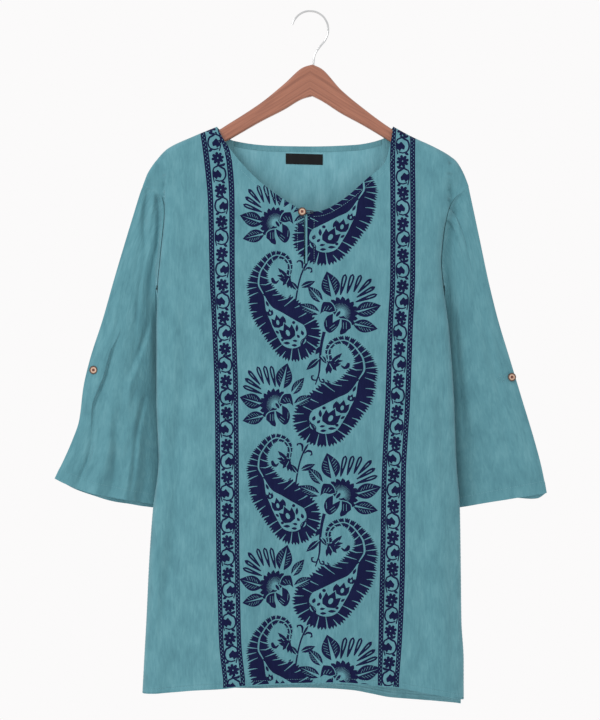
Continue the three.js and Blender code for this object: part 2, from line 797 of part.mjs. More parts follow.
async function solids() {
  const wasm = await Module();
  wasm.setup();
  const load = (geometry) => {
    const plain = bare(geometry);
    return new wasm.Manifold(
      new wasm.Mesh({
        numProp: 3,
        vertProperties: new Float32Array(plain.attributes.position.array),
        triVerts: new Uint32Array(plain.index.array),
      }),
    );
  };
  const cut = (body, tool) => {
    const mesh = load(body).subtract(load(tool)).getMesh();
    const geometry = new THREE.BufferGeometry();
    geometry.setAttribute('position', new THREE.BufferAttribute(new Float32Array(mesh.vertProperties), 3));
    geometry.setIndex([...mesh.triVerts]);
    return geometry;
  };
  return { cut };
}

// ---------------------------------------------------------------- the part

const solid = await solids();
const kurta = new THREE.Group();

function add(name, geometry, material) {
  const mesh = new THREE.Mesh(geometry, material);
  mesh.name = name;
  kurta.add(mesh);
  return mesh;
}

add('front', makeFront(solid), CLOTH);
add('back', makeBack(), CLOTH);
add('sleeve_left', makeSleeve(SEW.left, -WALL), CLOTH);
add('sleeve_right', makeSleeve(SEW.right, WALL), CLOTH);
add('neck_binding', makeBinding(), CLOTH);
add('slit_strip', makeSlitStrip(), CLOTH);
add('label', makeLabel(), DARK);
add('button_loop', makeLoop(), DARK);
add('hanger', makeHanger(solid), WOOD);
add('hook', makeHook(), STEEL);

const neckButton = add('button_neck', makeButton(solid), SHELL);
neckButton.position.set(NECK_BUTTON.x, frontY(NECK_BUTTON.x, NECK_BUTTON.z) - 2.3, NECK_BUTTON.z);

const sleeveButtons = [
  { name: 'button_sleeve_left', place: SEW.left, target: SLEEVE_BUTTON_LEFT },
  { name: 'button_sleeve_right', place: SEW.right, target: SLEEVE_BUTTON_RIGHT },
];
for (const { name, place, target } of sleeveButtons) {
  const { point, normal } = sleeveSpot(place, target);
  const button = add(name, makeButton(solid), SHELL);
  button.quaternion.setFromUnitVectors(new THREE.Vector3(0, -1, 0), normal);
  button.position.copy(point).addScaledVector(normal, BUTTON_LIFT);
}

export default kurta;
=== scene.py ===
# %% [markdown]
# # A cotton kurta on its hanger
# This notebook dresses a plain rigid model of a kurta: thin cloth panels with hems and stitches,
# a printed front, wooden buttons, a lacquered hanger and a wire hook. All lengths are written
# in millimetres, as a tailor would, and become metres only when a mesh is made.

# %% Load the frame
import json
import math

import bmesh
import bpy
import numpy as np
from mathutils import Matrix, Vector
from mathutils.geometry import delaunay_2d_cdt

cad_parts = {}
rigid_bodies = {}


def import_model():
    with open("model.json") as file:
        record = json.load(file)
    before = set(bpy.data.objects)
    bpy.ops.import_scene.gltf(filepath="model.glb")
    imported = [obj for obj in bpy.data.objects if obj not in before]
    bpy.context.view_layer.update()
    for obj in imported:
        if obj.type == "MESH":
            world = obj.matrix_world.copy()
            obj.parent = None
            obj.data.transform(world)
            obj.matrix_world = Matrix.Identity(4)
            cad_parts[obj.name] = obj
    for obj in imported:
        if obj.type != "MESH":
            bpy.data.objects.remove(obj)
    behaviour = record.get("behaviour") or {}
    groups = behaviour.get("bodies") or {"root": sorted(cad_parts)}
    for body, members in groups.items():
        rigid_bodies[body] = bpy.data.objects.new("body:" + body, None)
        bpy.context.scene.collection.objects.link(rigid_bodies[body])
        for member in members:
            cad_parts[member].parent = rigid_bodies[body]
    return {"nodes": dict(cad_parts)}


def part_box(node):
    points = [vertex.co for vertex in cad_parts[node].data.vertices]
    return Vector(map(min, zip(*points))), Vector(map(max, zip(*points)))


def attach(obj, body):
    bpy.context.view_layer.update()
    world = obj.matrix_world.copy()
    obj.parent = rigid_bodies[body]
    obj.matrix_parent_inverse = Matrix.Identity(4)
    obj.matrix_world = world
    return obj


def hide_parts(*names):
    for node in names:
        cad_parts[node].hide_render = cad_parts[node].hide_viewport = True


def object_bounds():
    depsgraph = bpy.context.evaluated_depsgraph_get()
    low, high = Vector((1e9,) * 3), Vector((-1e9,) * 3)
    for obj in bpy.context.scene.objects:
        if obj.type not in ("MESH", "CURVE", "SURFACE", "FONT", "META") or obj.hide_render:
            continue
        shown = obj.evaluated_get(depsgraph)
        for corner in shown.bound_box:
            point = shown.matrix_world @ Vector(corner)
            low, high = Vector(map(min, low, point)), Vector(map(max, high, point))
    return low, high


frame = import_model()
CAD_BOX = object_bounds()
MM = 0.001
bpy.context.scene.view_settings.view_transform = "Standard"
print("nodes:", sorted(frame["nodes"]))

# %% [markdown]
# ## Curves through short tables
# A pattern cutter marks a few points and joins them with a smooth ruler. `curve` does that: it
# passes through every point and never swings past one, so no bump appears that was not marked.

# %% Curves and soft steps


def mix(a, b, share):
    return a + (b - a) * share


def smooth(start, end, f):
    """0 before start, 1 after end, and a soft step between them."""
    q = np.clip((f - start) / (end - start), 0, 1)
    return q * q * (3 - 2 * q)


def curve(at, value):
    """A monotone cubic through the given points, as a function."""
    order = np.argsort(at)
    at, value = np.asarray(at, float)[order], np.asarray(value, float)[order]
    rise = np.diff(value) / np.diff(at)
    slope = np.concatenate([rise[:1], np.zeros(len(at) - 2), rise[-1:]])
    same = rise[:-1] * rise[1:] > 0
    total = np.where(same, rise[:-1] + rise[1:], 1)
    slope[1:-1] = np.where(same, 2 * rise[:-1] * rise[1:] / total, 0)

    def through(x):
        x = np.asarray(x, float)
        i = np.searchsorted(at[1:-1], x, side="left")
        wide = at[i + 1] - at[i]
        q = np.clip((x - at[i]) / wide, 0, 1)
        start = q * (1 - q) ** 2 * wide * slope[i]
        stop = q * q * (q - 1) * wide * slope[i + 1]
        return mix(value[i], value[i + 1], q * q * (3 - 2 * q)) + start + stop

    return through


def trace(points):
    """A smooth path through points, by the share 0 to 1 of its length seen from the front."""
    points = np.asarray(points, float)
    steps = np.hypot(np.diff(points[:, 0]), np.diff(points[:, -1]))
    run = np.concatenate([[0], np.cumsum(steps)])
    parts = [curve(run, points[:, k]) for k in range(points.shape[1])]
    return lambda share: np.stack([part(np.asarray(share) * run[-1]) for part in parts], -1)


def column(rows, k):
    return [row[k] for row in rows]


def table_curve(rows, k):
    """A curve through column k of a table, over its first column."""
    return curve(column(rows, 0), column(rows, k))


def rows_at(at, run, rows):
    """Rows of numbers given at run, read off in straight steps at other places."""
    return np.stack([np.interp(at, run, values) for values in rows.T], -1)


# %% [markdown]
# ## The drape
# A hanging garment is flat on the hanger and fuller towards its hem. The front and the back both
# leave one middle sheet at their edges and stand off it by a depth that grows downwards. Side
# edges turn back squarely, and the shoulders roll over the hanger's arms.

# %% Sizes of the garment
CLOTH_THICK = 1.4
SEAM = 0.3  # what the front and the back leave between them
BOW, CENTRE, REACH = 12, 3.5, 192  # the hanger's arms: bend to the front, middle, length
UNDERARM, SHOULDER, SHOULDER_TIP, HALF_WIDTH = -383, -190, -245, 215
HEM = -957  # the height where every fold is at its deepest
ARM_DEPTH, SHOULDER_ROLL = 9.6, 9  # how far the cloth stands off over an arm, and its roll
SEAM_Y, SEAM_SHARP = -14, 6  # where the side edges lie, and how late the middle bends to them
SIDE_ROUND_FRONT, SIDE_ROUND_BACK = 3.2, 2.3
# the sides of the flat part above the armhole, and the heights between which they take over
FOLD_LEFT, FOLD_RIGHT, FOLD_LOW, FOLD_HIGH = -203, 194, -300, -270
# the drop shoulder: from here out and between these heights it keeps this share of its depth
CAP_START, CAP_END, CAP_LOW, CAP_HIGH, CAP_SHARE = 196, 212, -262, -225, 0.5
# how far the armhole stands out in front and behind, how far in that reaches, and its shape
ARMHOLE_FRONT, ARMHOLE_BACK, ARMHOLE_WIDE, ARMHOLE_SOFT = 5, 17, 60, 0.7
# the side vents: their gap and upper end, and from where to where across the back stands off
VENT_GAP, VENT_TOP, VENT_FROM, VENT_FULL = 3, -905, 185, 214
SLIT_X, SLIT_BOTTOM, SLIT_WIDE = -7.7, -354, 1.6

# Side edges from the hem up: height, left, right
FRONT_SIDE = [
    (-963, -234, 214), (-905, -231, 214), (-851, -228, 211), (-767, -224, 210),
    (-697, -219, 209), (-627, -211, 204), (-543, -214, 201), (-445, -214, 194),
    (-383, -212, 186), (-351, -209, 183), (-312, -205, 186), (-280, -202, 192),
    (-262, -205, 201), (-252, -216, 213), (-245, -233, 221),
]
BACK_ARMHOLE = [
    (-383, -212, 186), (-340, -214, 192), (-300, -218, 201), (-270, -224, 211), (-245, -233, 221),
]
# Height, and how far the front and the back stand off the middle there
DEPTH = [
    (-963, 38, 21), (-800, 35, 19), (-600, 31, 17), (-450, 27, 14), (-354, 21, 10),
    (-282, 14, 6), (-215, 5, 2), (-160, 0, 0),
]
# Shoulders from the neck out, then necklines and hems from left to right: x and height
SHOULDER_LEFT = [(-130, -161), (-165, -176), (-199, -193), (-214, -209), (-226, -227), (-233, -245)]
SHOULDER_RIGHT = [(116, -160.5), (140, -174), (179, -193), (203, -209), (214, -227), (221, -245)]
FRONT_NECK = [
    (-130, -161), (-119, -182), (-76, -233), (-28, -269), (-3, -281), (13, -280), (42, -266),
    (81, -233), (104, -212), (112, -185), (116, -160.5),
]
BACK_NECK = [
    (-130, -161), (-109, -179), (-56, -186), (3, -187), (62, -185), (104, -176), (116, -160.5),
]
FRONT_HEM = [
    (-234, -949), (-190, -946), (-163, -943), (-121, -940), (-94, -937), (-60, -935.5),
    (-16, -934.5), (18, -932.5), (44, -932), (70, -934), (99, -938), (127, -941), (154, -946),
    (182, -951), (214, -958),
]
BACK_HEM = [
    (-234, -953), (-100, -950), (-60, -950), (18, -952), (60, -953.5), (86, -957.5),
    (115, -963), (165, -966.5), (214, -967.5),
]
# Wide folds: middle, width, depth, height where it starts
FRONT_FOLDS = [
    (-196, 26, 7, -560), (-108, 46, -5, -420), (-28, 42, 9, -520), (52, 48, -6, -480),
    (118, 36, 7, -560), (176, 30, -4, -420),
]
BACK_FOLDS = [
    (-150, 44, 6, -520), (-70, 40, -6, -430), (14, 46, 7, -560), (92, 40, -5, -470),
    (158, 34, 5, -540),
]


edge_left = table_curve(FRONT_SIDE, 1)
edge_right = table_curve(FRONT_SIDE, 2)
rear_left = table_curve(BACK_ARMHOLE, 1)
rear_right = table_curve(BACK_ARMHOLE, 2)
front_depth = table_curve(DEPTH, 1)
back_depth = table_curve(DEPTH, 2)
shoulder_left = table_curve(SHOULDER_LEFT, 1)
shoulder_right = table_curve(SHOULDER_RIGHT, 1)
print("chest", round(float(edge_right(-400) - edge_left(-400))), "mm across")

# %% The two draped faces


def bow(x):
    return -BOW * ((x - CENTRE) / REACH) ** 2


def roll(x, z):
    line = np.where(x < 0, shoulder_left(x), shoulder_right(x))
    under = np.clip((line - z) / SHOULDER_ROLL, 0, 1)
    return np.sqrt(1 - (1 - under) ** 2)


def flatness(x, z, sharp):
    up = smooth(FOLD_LOW, FOLD_HIGH, z)
    low, high = mix(edge_left(z), FOLD_LEFT, up), mix(edge_right(z), FOLD_RIGHT, up)
    out = np.clip(np.abs(x - (low + high) / 2) / ((high - low) / 2), 0, 1)
    return (1 - out**sharp) ** (1 / sharp)


def wide_folds(rows, x, z):
    return sum(
        deep * np.exp(-(((x - middle) / width) ** 2)) * smooth(start, HEM, z)
        for middle, width, deep, start in rows
    )


def middle_y(x, z):
    low = SEAM_Y * np.clip(np.abs(x - CENTRE) / HALF_WIDTH, 0, 1) ** SEAM_SHARP
    return mix(low, bow(x), smooth(UNDERARM, SHOULDER, z))


def over_arm(x, z, flat):
    cap = mix(1, CAP_SHARE, smooth(CAP_START, CAP_END, np.abs(x)))
    return ARM_DEPTH * roll(x, z) * mix(flat, cap, smooth(CAP_LOW, CAP_HIGH, z))


def armhole(x, z, left, right):
    up = np.clip((z - UNDERARM) / (SHOULDER_TIP - UNDERARM), 0, 1)
    near = 1 - smooth(0, ARMHOLE_WIDE, np.where(x < 0, x - left(z), right(z) - x))
    return np.maximum(np.sin(np.pi * up), 0) ** ARMHOLE_SOFT * near


def plain_front_y(x, z, flat):
    """The front face without its folds and creases; flat is its flatness there."""
    stand = over_arm(x, z, flat) + front_depth(z) * flat
    stand += ARMHOLE_FRONT * armhole(x, z, edge_left, edge_right)
    return middle_y(x, z) - SEAM / 2 - stand


def plain_back_y(x, z, flat):
    stand = over_arm(x, z, flat) + back_depth(z) * flat
    stand += ARMHOLE_BACK * armhole(x, z, rear_left, rear_right)
    return middle_y(x, z) + SEAM / 2 + stand


# %% [markdown]
# ## Creases
# Wide folds belong to the pattern. Creases come from washing and folding: each is a soft trough
# or ridge of its own length and depth. A table holds the main ones, and a fine seeded ripple
# stands for the crinkle that this cotton keeps after it is washed.

# %% Creases listed in a table
# x above, x below, height above, height below, width, depth (+ is a trough)
FRONT_CREASES = [
    (-204, -208, -232, -262, 5, 2.0), (-196, -203, -300, -520, 8, 2.0),
    (-170, -184, -390, -640, 14, 6.0), (-183, -192, -570, -800, 13, 6.2),
    (-194, -217, -740, -935, 11, 5.5), (-152, -160, -430, -760, 12, -1.2),
    (-165, -172, -250, -420, 12, 1.6), (-186, -178, -215, -330, 10, 1.5),
    (196, 193.5, -228, -280, 3.5, 0.9), (-140, -150, -700, -940, 12, -1.8),
    (188, 180, -255, -460, 7, 3.0), (180, 184, -420, -700, 9, 1.8),
    (196, 202, -600, -930, 8, 2.8), (168, 178, -520, -860, 12, -1.6),
    (160, 150, -240, -520, 13, 1.2), (152, 166, -700, -950, 11, 1.6),
    (-60, -66, -330, -620, 16, 0.9), (30, 22, -380, -700, 18, -0.9),
    (86, 96, -460, -780, 15, 0.9), (-100, -92, -600, -930, 14, 1.1),
    (44, 60, -720, -945, 14, 1.2), (-14, -8, -354, -430, 10, 1.1),
    (120, 128, -300, -520, 12, -0.8),
]
BACK_CREASES = [
    (-14, -16, -240, -560, 10, -1.8), (-37, -37, -205, -330, 5, -1.4),
    (-120, -132, -260, -640, 14, -1.8), (70, 78, -260, -600, 13, 1.6),
    (150, 164, -300, -720, 12, -2.2), (-186, -196, -320, -760, 11, 2.0),
    (30, 22, -560, -930, 16, 1.4), (-80, -70, -620, -940, 14, -1.5),
    (190, 196, -520, -940, 9, -2.0), (-206, -216, -600, -920, 9, 2.2),
    (118, 108, -640, -945, 13, 1.5),
]
WANDER, WANDER_TURN = 3, 5  # how far a crease leaves its straight line, and how fast
CREASE_PAST, FADE_TOP, FADE_LOW = 12, 45, 60  # how far past its ends it starts, and fades in
RIPPLE_WIDE, RIPPLE_TALL, RIPPLE_DEEP = 9.0, 46.0, 0.42
SLOW_WIDE, SLOW_TALL, SLOW_SHARE = 27.0, 92.0, 1.4
SWAY, SWAY_WIDE, SWAY_TALL = 7, 60, 80  # how far the ripples bend sideways, and over what size
BACK_SHIFT = 500  # so that the back's ripple isn't the front's
TABLE = np.random.default_rng(11).uniform(-1, 1, (256, 256))


def seeded(u, v):
    """Smooth noise: one seeded number at each whole (u, v), and soft steps between them."""
    i, j = np.floor(u).astype(int), np.floor(v).astype(int)
    f, g = smooth(0, 1, u - i), smooth(0, 1, v - j)
    low = mix(TABLE[i % 256, j % 256], TABLE[(i + 1) % 256, j % 256], f)
    high = mix(TABLE[i % 256, (j + 1) % 256], TABLE[(i + 1) % 256, (j + 1) % 256], f)
    return mix(low, high, g)


def ripple(across, along):
    """A fine ripple and a broad one; the added whole numbers take each from its own rows."""
    sway = SWAY * seeded(across / SWAY_WIDE, along / SWAY_TALL + 40)
    fine = seeded((across + sway) / RIPPLE_WIDE, along / RIPPLE_TALL)
    slow = seeded((across + sway) / SLOW_WIDE + 90, along / SLOW_TALL + 17)
    return RIPPLE_DEEP * (fine + SLOW_SHARE * slow)


def creases(rows, x, z):
    total = np.zeros_like(x)
    for x_top, x_low, top, low, width, deep in rows:
        down = np.clip((top - z) / (top - low), 0, 1)
        wander = WANDER * np.sin(down * WANDER_TURN + x_top)
        off = (x - mix(x_top, x_low, down) - wander) / width
        start = smooth(top + CREASE_PAST, top - FADE_TOP, z)
        stop = smooth(low - CREASE_PAST, low + FADE_LOW, z)
        total += deep * np.exp(-off * off) * (start * stop)
    return total


def front_y(x, z):
    x, z = np.asarray(x, float), np.asarray(z, float)
    flat = flatness(x, z, SIDE_ROUND_FRONT)
    relief = wide_folds(FRONT_FOLDS, x, z) + creases(FRONT_CREASES, x, z) + ripple(x, z)
    return plain_front_y(x, z, flat) + relief * flat * roll(x, z)


def back_y(x, z):
    x, z = np.asarray(x, float), np.asarray(z, float)
    flat = flatness(x, z, SIDE_ROUND_BACK)
    relief = wide_folds(BACK_FOLDS, x, z) + creases(BACK_CREASES, x, z)
    relief = relief + ripple(x + BACK_SHIFT, z)
    vent = VENT_GAP * (1 - smooth(HEM, VENT_TOP, z)) * smooth(VENT_FROM, VENT_FULL, np.abs(x))
    return plain_back_y(x, z, flat) + relief * flat * roll(x, z) + vent


print("front at mid chest:", round(float(front_y(0, -450)), 1), "mm")

# %% [markdown]
# ## Materials
# One helper adds a shader node, sets it and links it. Colours are written as sRGB hex, the way a
# dyer's card is, and turned to linear light by one function.

# %% Material helpers


def linear(code):
    """An sRGB hex colour as linear RGBA."""
    parts = [int(code[k : k + 2], 16) / 255 for k in (1, 3, 5)]
    turned = [c / 12.92 if c <= 0.04045 else ((c + 0.055) / 1.055) ** 2.4 for c in parts]
    return (*turned, 1.0)


def node(tree, kind, sockets=None, **settings):
    """Adds a shader node; a socket is given a value, or the output that feeds it."""
    made = tree.nodes.new("ShaderNode" + kind)
    for key, value in settings.items():
        setattr(made, key, value)
    for key, value in (sockets or {}).items():
        if isinstance(value, bpy.types.NodeSocket):
            tree.links.new(value, made.inputs[key])
        else:
            made.inputs[key].default_value = value
    return made


def material(name):
    made = bpy.data.materials.new(name)
    made.use_nodes = True
    made.node_tree.nodes.clear()
    return made, made.node_tree


# %% [markdown]
# ## Crinkled cotton
# Washed crinkle cotton is matt, a little uneven in its dye, and covered in fine upright wrinkles
# a few millimetres apart. The wrinkles and the thread are bump on the cloth's own map, where one
# unit is one metre of cloth, so they turn with a sleeve. The thread of 0.4 mm would not show, so
# the slubs are drawn at 1.6 mm.

# %% Cotton
# each colour from its darkest to its palest; the paler teal for the insides is no dye but painted
# fill light that lifts their shade
TEAL, PAINTED_FILL_TEAL = ("#437480", "#558994", "#689ba5"), ("#578c98", "#699fab", "#7db0bb")
NAVY, NAVY_SHEEN = ("#0d1232", "#11163a", "#181f43"), 0.25
# width and height of a wrinkle, of a patch in the dye and of a slub; then detail and distortion
GRAINS = [((3, 17), 3.0, 0.7), ((18, 40), 4.0, 0.0), ((1.6, 1.6), 1.0, 0.0)]
WRINKLE_HIGH, SLUB_HIGH = 1.1, 0.3


def cotton(name, low, base, high, sheen=1.0):
    made, tree = material(name)
    cloth_map = node(tree, "UVMap", uv_map="cloth").outputs["UV"]
    noises = []
    for (wide, tall), detail, distortion in GRAINS:
        scale = (1 / (wide * MM), 1 / (tall * MM), 1)
        sized = node(tree, "Mapping", {"Vector": cloth_map, "Scale": scale})
        noises.append(node(
            tree, "TexNoise",
            {"Vector": sized.outputs[0], "Scale": 1.0, "Detail": detail, "Distortion": distortion},
        ))
    crinkle, patch, slub = noises
    tone = node(
        tree, "MapRange",
        {"Value": patch.outputs[0], "From Min": 0.3, "From Max": 0.7, "To Min": 0.3, "To Max": 0.7},
    )
    # the colour follows the wrinkles' noise, as their bump does: darker in the troughs as painted
    # shade, paler on the crests as worn colour
    crinkle_wear_and_shade = node(
        tree, "MapRange",
        {"Value": crinkle.outputs[0], "From Min": 0.3, "From Max": 0.7, "To Min": -0.15,
         "To Max": 0.15},
    )
    total = node(tree, "Math", {0: tone.outputs[0], 1: crinkle_wear_and_shade.outputs[0]}, operation="ADD")
    ramp = node(tree, "ValToRGB", {"Fac": total.outputs[0]})
    ramp.color_ramp.elements[0].color = linear(low)
    ramp.color_ramp.elements[1].color = linear(high)
    ramp.color_ramp.elements.new(0.5).color = linear(base)
    wrinkle = node(
        tree, "Bump",
        {"Height": crinkle.outputs[0], "Strength": 0.6, "Distance": WRINKLE_HIGH * MM},
    )
    thread = node(
        tree, "Bump",
        {"Height": slub.outputs[0], "Normal": wrinkle.outputs[0], "Strength": 0.35,
         "Distance": SLUB_HIGH * MM},
    )
    shader = node(
        tree, "BsdfPrincipled",
        {"Base Color": ramp.outputs[0], "Normal": thread.outputs[0], "Roughness": 0.92,
         "Specular IOR Level": 0.25 * sheen, "Sheen Weight": 0.12 * sheen,
         "Sheen Roughness": 0.6},
    )
    node(tree, "OutputMaterial", {"Surface": shader.outputs[0]})
    return made


cotton_teal = cotton("crinkled cotton, teal dye", *TEAL)
# the paler teal for the insides of the back and the sleeves is painted fill light, not the cloth's
# own wrong side
cotton_painted_fill = cotton("crinkled cotton, paler wrong side", *PAINTED_FILL_TEAL)
cotton_navy = cotton("crinkled cotton, navy print", *NAVY, NAVY_SHEEN)
print("cloth materials:", cotton_teal.name, "/", cotton_navy.name)

# %% [markdown]
# ## Cloth shells
# A cloth piece is two faces and the raw edge between them. Both faces come from the same points,
# the inner ones moved in by the cloth's thickness. The shading normals are worked out from the
# drape itself, so thin triangles along a printed outline don't show as creases.

# %% A shell from a sheet of points


def add_object(name, data):
    """Puts a mesh, a curve, a light or a camera into the scene."""
    added = bpy.data.objects.new(name, data)
    bpy.context.collection.objects.link(added)
    return added


def shade_smooth(mesh):
    mesh.polygons.foreach_set("use_smooth", [True] * len(mesh.polygons))


def make_object(name, points, faces, materials, slots=None, normals=None, cloth_map=None):
    """A mesh object from points in millimetres, one normal for each face corner."""
    mesh = bpy.data.meshes.new(name)
    mesh.from_pydata((np.asarray(points) * MM).tolist(), [], faces)
    for made in materials:
        mesh.materials.append(made)
    if slots is not None:
        mesh.polygons.foreach_set("material_index", slots)
    shade_smooth(mesh)
    if cloth_map is not None:
        corner = np.zeros(len(mesh.loops), int)
        mesh.loops.foreach_get("vertex_index", corner)
        layer = mesh.uv_layers.new(name="cloth")
        layer.data.foreach_set("uv", (np.asarray(cloth_map)[corner] * MM).ravel())
    if normals is not None:
        mesh.normals_split_custom_set(normals)
    mesh.update()
    return add_object(name, mesh)


def unit(vectors):
    return vectors / np.maximum(np.linalg.norm(vectors, axis=-1, keepdims=True), 1e-9)


def rim_of(faces):
    """The edges that only one face has, each in the direction of that face."""
    seen = {}
    for face in faces:
        for a, b in zip(face, face[1:] + face[:1]):
            seen[(a, b)] = True
    return [(a, b) for a, b in seen if (b, a) not in seen]


def make_shell(name, outer, inner, facing, faces, materials, slots, cloth_map, inside_slot=0):
    """A thin closed wall: outer faces, the same faces inside turned round, and the rim."""
    count = len(outer)
    inside = [[count + k for k in reversed(face)] for face in faces]
    rim = [[b, a, count + a, count + b] for a, b in rim_of(faces)]
    points = np.vstack([outer, inner])
    both = np.vstack([facing, -facing])
    rim_points = points[np.array(rim)]
    rim_normals = unit(np.cross(rim_points[:, 1] - rim_points[:, 0],
                                rim_points[:, 3] - rim_points[:, 0]))
    corners = [both[k] for face in faces + inside for k in face]
    corners += [rim_normals[i] for i in range(len(rim)) for _ in range(4)]
    every = faces + inside + rim
    # inside faces take the given slot: on the back and the sleeves it is the paler teal, painted
    # light that lifts their shade
    kinds = list(slots) + [inside_slot] * len(inside) + [0] * len(rim)
    where = np.vstack([cloth_map, cloth_map])
    return make_object(name, points, every, materials, kinds, np.array(corners), where)


# %% [markdown]
# ## Panels
# Each panel is laid out flat between its four edges: hem, sides, and the neckline with the two
# shoulders. Rows and columns crowd at the sides and at the shoulders, where the cloth turns.

# %% Panel layout
NECK_SHARE = 0.54  # across, from the middle to the end of the neckline


def panel_map(left, right, hem, neck, tuck):
    neck_line, line_l, line_r = trace(neck), trace(SHOULDER_LEFT), trace(SHOULDER_RIGHT)
    hem_z = table_curve(hem, 1)
    low_x, high_x = hem[0][0] + tuck, hem[-1][0] - tuck

    def top(t):
        out = np.clip((np.abs(t) - NECK_SHARE) / (1 - NECK_SHARE), 0, 1)
        middle = neck_line(np.clip((t / NECK_SHARE + 1) / 2, 0, 1))
        side = np.where((t < 0)[..., None], line_l(out), line_r(out))
        return np.where((out <= 0)[..., None], middle, side)

    def bottom(t):
        x = mix(low_x, high_x, (t + 1) / 2)
        return np.stack([x, hem_z(x)], -1)

    def side(edge, t, v):
        z = mix(bottom(t)[..., 1], top(t)[..., 1], v)
        return np.stack([edge(z) - np.sign(t) * tuck * (1 - smooth(HEM, VENT_TOP, z)), z], -1)

    def place(t, v):
        t, v = np.broadcast_arrays(np.asarray(t, float), np.asarray(v, float))
        f, g = ((t + 1) / 2)[..., None], v[..., None]
        one = np.ones_like(t)
        rows = mix(bottom(t), top(t), g)
        sides = mix(side(left, -one, v), side(right, one, v), f)
        corners = mix(mix(bottom(-one), bottom(one), f), mix(top(-one), top(one), f), g)
        return rows + sides - corners

    return place


def back_left(z):
    return np.where(z > UNDERARM, rear_left(z), edge_left(z))


def back_right(z):
    return np.where(z > UNDERARM, rear_right(z), edge_right(z))


front_map = panel_map(edge_left, edge_right, FRONT_HEM, FRONT_NECK, 0)
back_map = panel_map(back_left, back_right, BACK_HEM, BACK_NECK, VENT_GAP)

HEM_DEEP, HEM_RAISE = 8, 0.5  # the turned hem, and how much thicker it lies
hem_front = table_curve(FRONT_HEM, 1)
hem_back = table_curve(BACK_HEM, 1)


# shares of the way across and up; the ones near the sides and the shoulders crowd together
SIDE_SHARES = [0.93, 0.945, 0.96, 0.972, 0.982, 0.989, 0.9945, 0.998, 0.9995, 1]
TOP_SHARES = [0.972, 0.977, 0.982, 0.9865, 0.9905, 0.994, 0.9965, 0.9982, 0.9993, 0.9998, 1]
HEM_SHARE = 0.024


def spaced(start, ends, count):
    """So many even steps from start to the first of the ends, and then the ends."""
    return np.concatenate([np.linspace(start, ends[0], count, endpoint=False), ends])


def rows_up(in_hem, above):
    return spaced(0, spaced(HEM_SHARE, TOP_SHARES, above), in_hem)


ACROSS = spaced(0, SIDE_SHARES, 48)
ACROSS = np.concatenate([-ACROSS[:0:-1], ACROSS])
UP, UP_FRONT = rows_up(13, 165), rows_up(10, 125)
print("panel grid", len(ACROSS), "x", len(UP))

# %% A panel's normals and thickness
FOLD_OUT, FOLD_IN = 1.6, 0.6  # the fold's edge fades over this, above and below HEM_DEEP
# the stitches: how far inside the fold, how wide and how deep they pull in, and their puckers
SEW_IN, SEW_WIDE, SEW_PULL, PUCKER_STEP = 1.5, 1.1, 0.5, 4.5
SLOPE_STEP = 0.12


def turned_hem(x, z, hem_line):
    """The turned hem lies a little proud, and its stitches pull it in and pucker it."""
    up = z - hem_line(x)
    fold = smooth(HEM_DEEP + FOLD_OUT, HEM_DEEP - FOLD_IN, up)
    stitch = np.exp(-(((up - HEM_DEEP + SEW_IN) / SEW_WIDE) ** 2))
    pucker = 0.5 + 0.5 * seeded(x / PUCKER_STEP, 3 + 0 * x)
    return HEM_RAISE * fold - SEW_PULL * stitch * (0.6 + 0.6 * pucker)


def front_sheet(x, z):
    return front_y(x, z) - turned_hem(x, z, hem_front)


def back_sheet(x, z):
    return back_y(x, z) + turned_hem(x, z, hem_back)


def slopes(sheet, x, z, step):
    """How fast a sheet's y rises along x and along z."""
    return (
        (sheet(x + step, z) - sheet(x - step, z)) / (2 * step),
        (sheet(x, z + step) - sheet(x, z - step)) / (2 * step),
    )


def panel_points(flat, sheet, side):
    """Outer points, inner points and normals of a panel; side is -1 in front and 1 behind."""
    x, z = flat[:, 0], flat[:, 1]
    slope_x, slope_z = slopes(sheet, x, z, SLOPE_STEP)
    facing = unit(np.stack([-side * slope_x, side * np.ones_like(x), -side * slope_z], -1))
    outer = np.stack([x, sheet(x, z), z], -1)
    inner = outer - facing * CLOTH_THICK
    limit = middle_y(inner[:, 0], inner[:, 2]) + side * SEAM / 2
    inner[:, 1] = side * np.maximum(side * inner[:, 1], side * limit)
    return outer, inner, facing


# %% [markdown]
# ## The back
# The back panel carries no print, so a plain grid of quads is enough.

# %% Back panel
# pieces are set apart on the cloth's map, so that no two have the same crinkle
MAP_BACK, MAP_SLEEVE, MAP_TRIM = 2000, 3000, 4000


def grid_faces(rows, columns, flip=False, closed=False):
    faces = []
    for i in range(rows - 1):
        for j in range(columns if closed else columns - 1):
            a, b = i * columns + j, i * columns + (j + 1) % columns
            face = [a, b, b + columns, a + columns]
            faces.append(face[::-1] if flip else face)
    return faces


flat_back = back_map(ACROSS[None, :], UP[:, None]).reshape(-1, 2)
outer, inner, facing = panel_points(flat_back, back_sheet, 1)
faces = grid_faces(len(UP), len(ACROSS), flip=True)
back_cloth = make_shell(
    "back_cloth", outer, inner, facing, faces, [cotton_teal, cotton_painted_fill],
    [0] * len(faces), flat_back + [0, MAP_BACK], inside_slot=1,
)
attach(back_cloth, "root")
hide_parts("back")
print("back panel:", len(back_cloth.data.polygons), "faces")

# %% [markdown]
# ## The block print
# The front carries a half drop of paisleys and flower sprays between two borders, in navy. A
# printer cuts such a block from simple parts: leaves, drops, strips and teeth. Here each part is
# a closed line of complex numbers, x + i z in millimetres, so a turn or a shift is one product
# or one sum. Every part is ink or bare cloth, and a later part covers an earlier one.

# %% Parts of a print
INK, BARE = 1, 0


def line_of(points, count):
    """A smooth line of count points through a few given ones."""
    points = np.asarray(points, complex)
    path = trace(np.stack([points.real, points.imag], -1))(np.linspace(0, 1, count))
    return path[:, 0] + 1j * path[:, 1]


